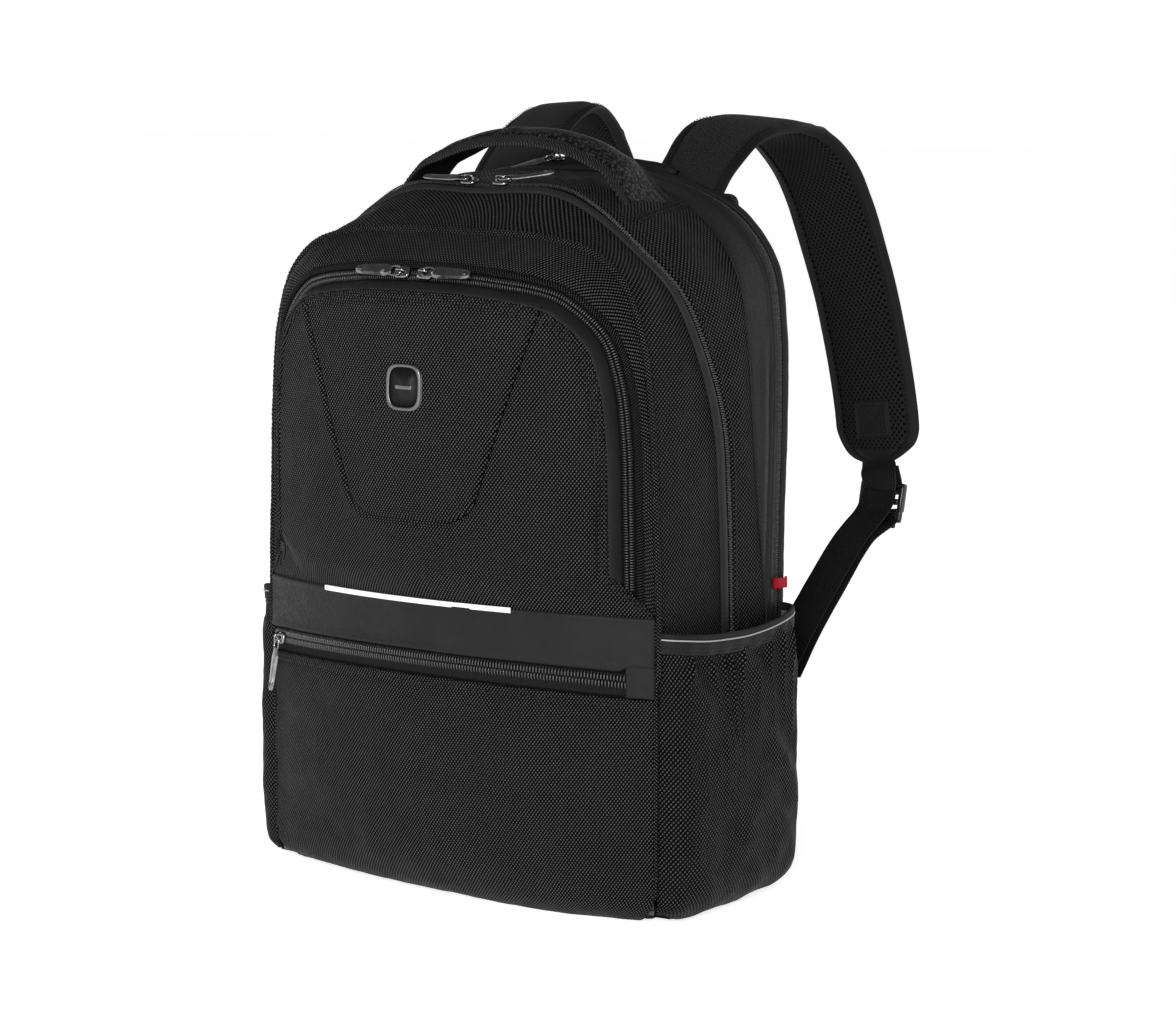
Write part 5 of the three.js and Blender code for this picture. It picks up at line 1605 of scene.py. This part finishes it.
def handle():
    xs = np.linspace(-GRIP_HALF, GRIP_HALF, 230)
    t = np.abs(xs) / HANDLE_HALF
    free = HANDLE_TOP - 3.5 - (HANDLE_TOP - 437.3) * t ** 2.3
    rest = body_top(xs, HANDLE_Y) + 2.0
    z = np.logaddexp(free / 1.6, rest / 1.6) * 1.6
    path = resample(np.stack([xs, z], 1), count=230)
    xs, z = path[:, 0], path[:, 1]
    t = heading(path)
    up = np.stack([-t[:, 1], np.zeros(len(t)), t[:, 0]], 1)
    arc = arc_of(path)
    arc -= arc.mean()
    end = GRIP_HALF - np.abs(xs)
    half = np.interp(end, [0, 10, 30, 55, 98], [24.5, 23.4, 20.6, 18.4, 17.8])
    thick = np.interp(end, [0, 6, 24, 44, 98], [0.9, 1.4, 2.8, 3.7, 3.8])
    lean = np.radians(np.interp(end, [0, 12, 50, 98], [0, 1, 5, 7]))[:, None]
    count = 96
    q = np.linspace(0, 2 * np.pi, count, endpoint=False)
    c, s = np.cos(q), np.sin(q)
    across = np.sign(c) * np.abs(c) ** 0.85
    height = np.sign(s) * np.abs(s) ** 0.7
    a = across[None] * half[:, None]
    h = height[None] * thick[:, None]
    top = h > 0
    bound = np.interp(np.abs(arc), [0, 40, 55, 92, 120], [11.6, 12.0, 14.2, 16.0, 18.5])[:, None]
    groove = -(1.1 * bell(np.abs(a) - bound, 0.7)
               + 0.6 * bell(np.abs(a) - bound - 2.2, 0.7)) * top
    ridge = 0.45 * bell(np.abs(a) - bound - 1.1, 0.6) * top
    droop = 4.4 * (a / half[:, None]) ** 2 * ramp(end / 40)[:, None]
    high = h - droop
    sideways = a * np.cos(lean) - high * np.sin(lean)
    rise = a * np.sin(lean) + high * np.cos(lean)
    base = (np.stack([xs, np.full(len(xs), HANDLE_Y - 1.0), z], 1)[:, None]
            + sideways[..., None] * np.array([0, 1.0, 0]) + rise[..., None] * up[:, None])
    lying = body_top(base[..., 0], base[..., 1]) + 1.0 + h
    w = ramp((30 - end) / 24)[:, None]
    w = w * w * (3 - 2 * w)
    base[..., 2] = base[..., 2] * (1 - w) + lying * w
    swell = groove + ridge + 0.35 * rough(base, 9, 171) + 0.22 * rough(
        np.stack([arc[:, None] / 3.2 + a * 0, a / 20, a * 0], -1), 1.0, 172) * (np.abs(a) > bound)
    p = base + up[:, None] * (np.where(top, swell, -0.3 * swell))[..., None]
    uv = np.stack([np.broadcast_to(arc[:, None], a.shape), np.broadcast_to(a, a.shape)], -1)
    faces = grid_faces(len(xs), count, close_cols=True)
    verts = p.reshape(-1, 3)
    col, row = faces[:, 0] % count, faces[:, 0] // count
    inner = (np.abs(across[col]) * half[row] < bound[row, 0]) & (height[col] > 0)
    obj = make_object("handle_grip", verts, outward(verts, tube_faces(len(xs), count)), uv.reshape(-1, 2),
                      ["rib", "pebble"], np.concatenate([np.where(inner, 1, 0), [0, 0]]))
    blend = ("pack", "grab_handle", (0, 0, 424), (0, 0, 441))
    settle(obj, replaces=["handle"], blend=blend)
    seams = []
    for column in (4, count // 2 - 4, 14, count // 2 - 14):
        spot = p[:, column]
        out = spot - base[:, [3 * count // 4]][:, 0]
        seams.append((spot[6:-6], unit(out)[6:-6], 3.0, 2.1, 0.32, 0.1))
    stitched("handle_stitching", seams, blend=blend)
    for s, word in SIDES:
        x, y = lattice((PATCH_IN, PATCH_OUT, 12), (-27, 25.5, 60))
        p = np.stack([x, y, body_top(x, y)], -1)
        du, dv = np.gradient(p, axis=0), np.gradient(p, axis=1)
        n = np.cross(du, dv)
        n *= np.sign(n[..., 2:])
        n = unit(n)
        seam = np.minimum(x - PATCH_IN, PATCH_OUT - x)
        lift = 2.3 + 0.8 * ramp(seam / 1.5) ** 0.5 - 0.6 * bell(seam - 1.6, 0.6) \
            + 0.4 * crinkle(y / 1.9, x / 9, 173)
        q = (p + n * lift[..., None]) * [s, 1, 1]
        n = n * [s, 1, 1]
        sheet(f"handle_patch_{word}", q, n, 2.6, ["weave_fine"], "pack",
              [f"handle_base_{word}"])
        stitched(f"handle_patch_stitching_{word}", [(q[k], n[k], 2.6, 1.8, 0.32, 0.3) for k in (3, 8)],
                 "pack")


# ---------------------------------------------------------------- straps
def strap_frame(t, s):
    """Centre, half-width direction and inner-face normal along the strap; the path's first stretch runs into
    the yoke.
    """
    path = [[[72, 68.5, 430], [1, 0.02, 0]], [[72, 78, 442.5], [1, 0.03, 0]]] + STRAP_PATH
    points, sides = np.array([p for p, _ in path], float), np.array([d for _, d in path], float)
    k = np.asarray(t, float)
    if s < 0:
        points[:, 2] += 7.0 * bell(points[:, 1] - 146, 42)
    p = catmull(points, k)
    side = np.stack([np.interp(k * (len(path) - 1), np.arange(len(path)), sides[:, i]) for i in range(3)], 1)
    d = (catmull(points, ramp(k + 0.003)) - catmull(points, ramp(k - 0.003)))
    d = unit(d)
    side -= d * np.sum(side * d, 1, keepdims=True)
    side = unit(side)
    n = np.cross(d, side)
    flip = np.array([s, 1, 1])
    return p * flip, side * flip, n * flip, d * flip


KINK_Y = 172.0


def strap(s, word):
    rows = 250
    t = np.linspace(0.0, 1.0, rows)
    p, side, n, d = strap_frame(t, s)
    arc = arc_of(p)
    left = arc[-1] - arc
    half = np.interp(arc, [0, 30, 70], [27, 29, 31.3]) * np.where(
        left < 26, np.sqrt(np.clip(1 - ((26 - left) / 27.5) ** 2, 0.05, 1)), 1.0)
    thick = np.interp(arc, [0, 18, 60], [2.6, 3.8, 5.0]) * np.interp(left, [0, 5, 18], [0.42, 0.75, 1])
    count = 64
    q = np.linspace(0, 2 * np.pi, count, endpoint=False)
    c, sn = np.cos(q), np.sin(q)
    across = np.sign(c) * np.abs(c) ** 0.5
    height = np.sign(sn) * np.abs(sn) ** 0.8
    a = across[None] * half[:, None]
    edge = half[:, None] - np.abs(a)
    h = height[None] * thick[:, None] * np.interp(edge, [0, 5.5, 8.0, 13], [0.62, 0.62, 0.72, 1.0])
    puff = 0.9 * ramp((edge - 8) / 12) ** 0.5
    groove = -0.95 * bell(edge - 8.0, 1.0) + 0.55 * bell(edge - 5.4, 1.6)
    end_groove = -0.8 * bell(left[:, None] - 10.0, 1.2)
    fold_at = np.interp(KINK_Y, p[:, 1][:np.argmax(p[:, 1])], arc[:np.argmax(p[:, 1])])
    fold = arc[:, None] - fold_at - 0.25 * a * s
    end_groove = end_groove + (2.6 * np.exp(-np.abs(fold) / 7.0) - 0.6 * bell(fold, 12)) * (height[None] < 0)
    base = p[:, None] + a[..., None] * side[:, None] + h[..., None] * n[:, None]
    lift = puff + groove + end_groove + 0.55 * rough(base, 26, 181) + 0.2 * rough(base, 9, 182)
    round_over = ramp(np.abs(height) * 1.6)[None, :, None]
    grid = base + np.sign(height)[None, :, None] * n[:, None] * lift[..., None] * round_over
    uv = np.stack([a, np.broadcast_to(arc[:, None], a.shape)], -1)
    faces = grid_faces(rows, count, close_cols=True)
    row, col = faces[:, 0] // count, faces[:, 0] % count
    centre_edge = half[row] - np.abs(across[col]) * half[row]
    inner_face, outer_face = height[col] > 0.3, height[col] < -0.3
    middle = (centre_edge > 7.6) & (left[row] > 9.5)
    index = np.where(middle & inner_face, 1, np.where(middle & outer_face, 2, 0))
    verts = grid.reshape(-1, 3)
    obj = make_object(f"strap_pad_skin_{word}", verts, outward(verts, tube_faces(rows, count)),
                      uv.reshape(-1, 2), ["rib_edge", "spacer", "rib"], np.concatenate([index, [0, 0]]))
    blend = ("pack", f"strap_{word}", (72 * s, 74, 437), (72 * s, 112, 464))
    settle(obj, replaces=[f"strap_pad_{word}"], blend=blend)
    seams, keep = [], left > 24
    for sign in (1, -1):
        for inset, face in ((6.2, 1), (6.2, -1), (3.6, -1)):
            offset = sign * (half - inset)
            height = thick * (0.64 if inset < 5 else 0.66) + 0.2
            line = p + side * offset[:, None] + n * (face * height)[:, None]
            seams.append((line[keep], (n * face)[keep], 3.4, 2.2, 0.28, -0.15))
    stitched(f"strap_stitching_{word}", seams, blend=blend)
    strap_end(s, word, p, side, n, d, left)


def strap_end(s, word, p, side, n, d, left):
    """Square reinforced patch on the inner face, and the ribbed tongue that holds the ladder lock."""
    body = f"strap_{word}"
    at = int(np.argmin(np.abs(left - 30)))
    o, u, w, m = p[at], side[at], d[at], n[at]
    reach = 13
    a, b = lattice((-reach, reach, 16), (-reach, reach, 16))
    inset = reach - np.maximum(np.abs(a), np.abs(b))
    near = np.minimum(np.abs(a - b), np.abs(a + b)) / 1.41
    lift = 6.3 + 0.8 * ramp(inset / 2) ** 0.5 - 0.6 * bell(near, 1.1) * (inset > 3)
    q = o + a[..., None] * u + b[..., None] * w + lift[..., None] * m
    nn = np.broadcast_to(m, q.shape)
    sheet(f"strap_patch_{word}", q, nn, 2.6, ["rib_edge"], body)
    box = np.array([[-10.5, -10.5], [10.5, -10.5], [10.5, 10.5], [-10.5, 10.5], [-10.5, -10.5], [10.5, 10.5],
                    [10.5, -10.5], [-10.5, 10.5]])
    line = o + box[:, :1] * u + box[:, 1:] * w + 6.9 * m
    stitched(f"strap_patch_stitching_{word}", [(line, even_normals(line, m), 2.7, 1.9, 0.32, 0.1)],
             body)
    lock = LOCK_AT * [s, 1, 1]
    start, stop = p[-1] - d[-1] * 12, lock + np.array([0, -3.0, 12.0])
    path = [start, p[-1] + d[-1] * 1.5, (p[-1] + stop) / 2 + np.array([0, -1.0, 0]), stop,
            lock + np.array([0, -3.2, 9.0]), lock + np.array([0, 1.5, 6.6]), lock + np.array([0, 4.6, 11.0]),
            (p[-1] + stop) / 2 + np.array([0, 4.6, 3.0])]
    ribbon(f"strap_tongue_{word}", path, np.array([1.0 * s, -0.03, 0]), 12.6, 1.3, body)


def ribbon(name, path, side_hint, half, thick, body, replaces=(), blend=None, count=70):
    """Flat woven tape along a path."""
    line = catmull(np.array(path, float), np.linspace(0, 1, count))
    line = resample(line, count=count)
    t = heading(line)
    side = unit(side_hint - t * (t @ side_hint)[:, None])
    n = np.cross(t, side)
    arc = arc_of(line)
    left = np.array([[-1, -0.35], [-0.97, -0.75], [-0.9, -0.95], [-0.6, -0.85], [-0.2, -0.8]])
    under = np.vstack([left, left[::-1] * [-1, 1]])
    profile = np.vstack([under, -under])
    grid = (line[:, None] + side[:, None] * (profile[:, 0][None] * half)[..., None]
            + n[:, None] * (profile[:, 1] * thick)[None, :, None])
    grid = grid + 0.18 * n[:, None] * rough(grid, 9, 191)[..., None]
    k = len(profile)
    uv = np.stack([profile[:, 0][None] * half + np.zeros((count, k)),
                   np.broadcast_to(arc[:, None], (count, k))], -1)
    closed_piece(name, grid.reshape(-1, 3), tube_faces(count, k), uv, ["webbing"], body, replaces,
                 blend)


def straps():
    for s, word in SIDES:
        strap(s, word)
        flip = np.array([s, 1, 1])
        body = f"strap_{word}"
        hint = np.array([1.0 * s, 0.1, 0])
        lock = LOCK_AT * flip
        end = [np.array(q) * flip for q in ([123.5, 82, 115.0], [124, 74, 112.5], [124, 69.5, 112])]
        main = [lock + [0, 0.8, 8.0], lock + [0, -3.9, 7.4], lock + [0.1 * s, -5.6, 3.6]]
        path = [np.array(m) for m in main] + [np.array(q, float) * flip for q in WEB_PATH] + end
        blend = ("pack", body, (124 * s, 72, 111), (123 * s, 100, 125))
        ribbon(f"webbing_{word}", path, hint, 12.5, 0.85, None, [f"strap_webbing_{word}"], blend, 90)
        offsets = [np.array(q, float) * flip + np.array([2.4 * s, 2.8, -2.4]) for q in WEB_PATH[:5]]
        offsets[0] = offsets[0] + np.array([0, 3.0, -6.0])
        offsets[-1] = offsets[-1] + np.array([0, 1.0, -1.5])
        tail = [lock + np.array([0.9 * s, 1.0, -6])] + offsets
        ribbon(f"webbing_tail_{word}", tail, hint, 12.5, 0.8, body)
        ladder_lock(s, word)


def ladder_lock(s, word):
    heap = Heap()
    tilt = math.radians(-14)
    x = np.array([1.0, 0, 0])
    y = np.array([0, math.cos(tilt), math.sin(tilt)])
    z = np.array([0, -math.sin(tilt), math.cos(tilt)])
    o = LOCK_AT * [s, 1, 1]
    axes = [x, y, z]

    def block(cx, cy, cz, hx, hy, hz, r):
        rounded_box(heap, o + x * cx + y * cy + z * cz, axes, (hx, hy, hz), r)

    for k in (-1, 1):
        block(k * 14.9, 0, 3.4, 1.9, 3.1, 9.8, 1.4)
        block(k * 14.6, -0.4, -8.6, 2.0, 2.0, 5.0, 1.4)
    block(0, 0.2, 11.4, 16.2, 2.2, 1.8, 1.5)
    block(0, -0.6, 0.5, 14.0, 1.7, 2.1, 1.4)
    block(0, 0.3, -8.6, 15.6, 2.2, 1.7, 1.4)
    for k in range(5):
        block(0, -2.2, 2.0 - k * 0.9, 12.6, 0.35, 0.28, 0.25)
    block(0, -0.8, -16.4, 12.8, 1.2, 1.2, 0.9)
    for k in (-11.9, -8.2, -4.1, 0.0, 4.1, 8.2, 11.9):
        block(k, -0.8, -12.9, 0.85, 1.1, 3.4, 0.6)
    settle(heap.object(f"ladder_lock_frame_{word}", "plastic"), f"strap_{word}",
           replaces=[f"ladder_lock_{word}"])


# ---------------------------------------------------------------- zip sliders and pulls
class Local:
    """Frame on a zip: u along it, v across it, w outward."""

    def __init__(self, origin, along, out, turn):
        u = np.array(along, float)
        u /= np.linalg.norm(u)
        w = np.array(out, float)
        w -= u * w.dot(u)
        w /= np.linalg.norm(w)
        v = np.cross(w, u)
        c, s = math.cos(turn), math.sin(turn)
        self.origin, self.u, self.v, self.w = np.array(origin, float), u * c + v * s, v * c - u * s, w

    def at(self, points):
        p = np.asarray(points, float)
        return self.origin + p[..., :1] * self.u + p[..., 1:2] * self.v + p[..., 2:] * self.w


def arc_spot(apex, rise, fall, radius, x):
    size, angle = math.hypot(rise, fall), math.asin(x / radius)
    depth = radius * (1 - math.cos(angle))
    return ([x, apex[1] + rise / size * depth, apex[2] - fall / size * depth],
            [math.cos(angle), math.sin(angle) * rise / size, -math.sin(angle) * fall / size])


def slider(name, place, crosswise=False):
    heap = Heap()
    ring = [(-5.4, 2.2), (-4.6, 3.2), (-2.8, 3.9), (0, 4.0), (3.0, 4.0), (4.8, 3.3), (5.7, 1.9)]
    outline = np.array(ring + [(u, -v) for u, v in ring[::-1]])
    levels = [(0.62, 0.86), (0.85, 0.98), (1.5, 1.0), (2.2, 0.97), (2.7, 0.86), (2.95, 0.6), (3.0, 0.25)]
    verts = np.concatenate([place.at(np.column_stack([outline * k, np.full(len(outline), w)])) for w,
                            k in levels])
    heap.add(verts, outward(verts, tube_faces(len(levels), len(outline))))
    q = np.linspace(0, math.pi, 15)
    path = np.stack([-3.1 * np.cos(q), q * 0, 2.5 + 3.4 * np.sin(q) ** 0.55], 1)
    if crosswise:
        path = path[:, [1, 0, 2]]
    heap.add_tube(place.at(path), 0.78, 8, place.u if crosswise else place.v)
    # Laptop sliders take the darker metal as painted shade, which keeps their flat fronts from showing a
    # bright reflection.
    metal = "dark_metal" if name.startswith("laptop") else "gunmetal"
    settle(heap.object(f"{name}_slider_body", metal), f"{name}_slider",
           replaces=[f"{name}_slider"])


def pull(name, place):
    """Wire loop through the slider's bridge and a long faceted bar."""
    q = np.linspace(0, 2 * math.pi, 33)[:-1]
    c, s = np.cos(q), np.sin(q)
    loop = np.stack([4.0 + 4.3 * np.sign(c) * np.abs(c) ** 0.7, 3.1 * np.sign(s) * np.abs(s) ** 0.8,
                     np.full(32, 4.0)], 1)
    heap = Heap()
    heap.add_tube(place.at(np.vstack([loop, loop[:2]])), 0.72, 8, place.w)
    settle(heap.object(f"{name}_pull_loop", "gunmetal"), f"{name}_pull")
    stations = [(6.6, 1.7, 0.9), (8.2, 3.4, 1.15), (11.5, 4.2, 1.35), (14.5, 4.1, 1.0), (27.5, 3.4, 0.95),
                (30.0, 3.2, 1.3), (32.6, 2.7, 1.15), (34.2, 1.5, 0.8)]
    rows = []
    for u, half, high in stations:
        left = [[u, -half, -0.35], [u, -half * 0.96, 0.25], [u, -half * 0.5, high * 0.78]]
        right = [[u, -v, w] for _, v, w in left[::-1]]
        rows.append(left + [[u, 0, high]] + right + [[u, half * 0.8, -0.75], [u, -half * 0.8, -0.75]])
    rows = np.array(rows)
    rows[..., 2] += 4.0
    k = rows.shape[1]
    verts = place.at(rows.reshape(-1, 3))
    faces = []
    for i in range(len(stations) - 1):
        for j in range(k):
            a, b = i * k + j, i * k + (j + 1) % k
            if (i + j) % 2:
                faces += [[a, a + k, b + k], [a, b + k, b]]
            else:
                faces += [[a, a + k, b], [b, a + k, b + k]]
    faces += [list(range(k))[::-1], [(len(stations) - 1) * k + j for j in range(k)]]
    heap = Heap()
    heap.add(verts, outward(verts, faces))
    obj = heap.object(f"{name}_pull_bar", "gunmetal", smooth=False)
    settle(obj, f"{name}_pull", replaces=[f"{name}_pull"])
    heap = Heap()
    q = np.linspace(0, 2 * math.pi, 12, endpoint=False)
    dome = [[30.6 + r * math.cos(t), r * math.sin(t), w]
            for r, w in ((1.25, 4.7), (1.2, 5.15), (0.8, 5.45), (0.3, 5.55)) for t in q]
    verts = place.at(np.array(dome))
    heap.add(verts, outward(verts, tube_faces(4, 12)))
    settle(heap.object(f"{name}_pull_rivet", "dark_metal"), f"{name}_pull")


def zip_hardware():
    main = [0, -0.34, 0.94]
    pocket = [0, -0.86, 0.51]
    spots = [("main_left", [-12, -46.3, 440.6], [1, 0, 0], main, True, 0),
             ("main_right", [12, -46.3, 440.6], [1, 0, 0], main, False, 22),
             ("laptop_left", [-19, 56, 450.4], [1, 0, 0], [0, 0, 1], True, 35),
             ("laptop_right", [4, 56, 450.4], [1, 0, 0], [0, 0, 1], False, -20)]
    for name, x, turned in (("pocket_left", -8.5, True), ("pocket_right", 8.5, False)):
        at, along = arc_spot([0, -118.3, 389.4], 40, 14.6, 271, x)
        spots.append((name, at, along, pocket, turned, 0))
    for name, at, along, out, turned, yaw in spots:
        turn = math.pi if turned else 0
        slider(name, Local(at, along, out, turn))
        face = [0, -0.5, 0.87] if name.startswith("laptop") else out
        pull(name, Local(at, along, face, turn + math.radians(yaw)))
    at, along = arc_spot([0, -116.9, 153.3], 38.8, 6.1, 300, -134)
    out = [0, -0.98, 0.2]
    slider("lower", Local(at, along, out, math.pi), True)
    pull("lower", Local(at, along, out, -math.pi / 2))


# ---------------------------------------------------------------- assembly
gusset_front()
front_roll()
main_zip()
gusset_rear()
laptop_side()
pocket_zip()
front_frame()
door()
badge()
lower_panel()
front_band()
lower_zip()
base_panel()
inner_surfaces()
for sign, word in SIDES:
    side_band(sign, word)
    side_pocket(sign, word)
    side_floor(sign, word)
red_tab()
back_side()
yoke_roll()
handle()
straps()
zip_hardware()
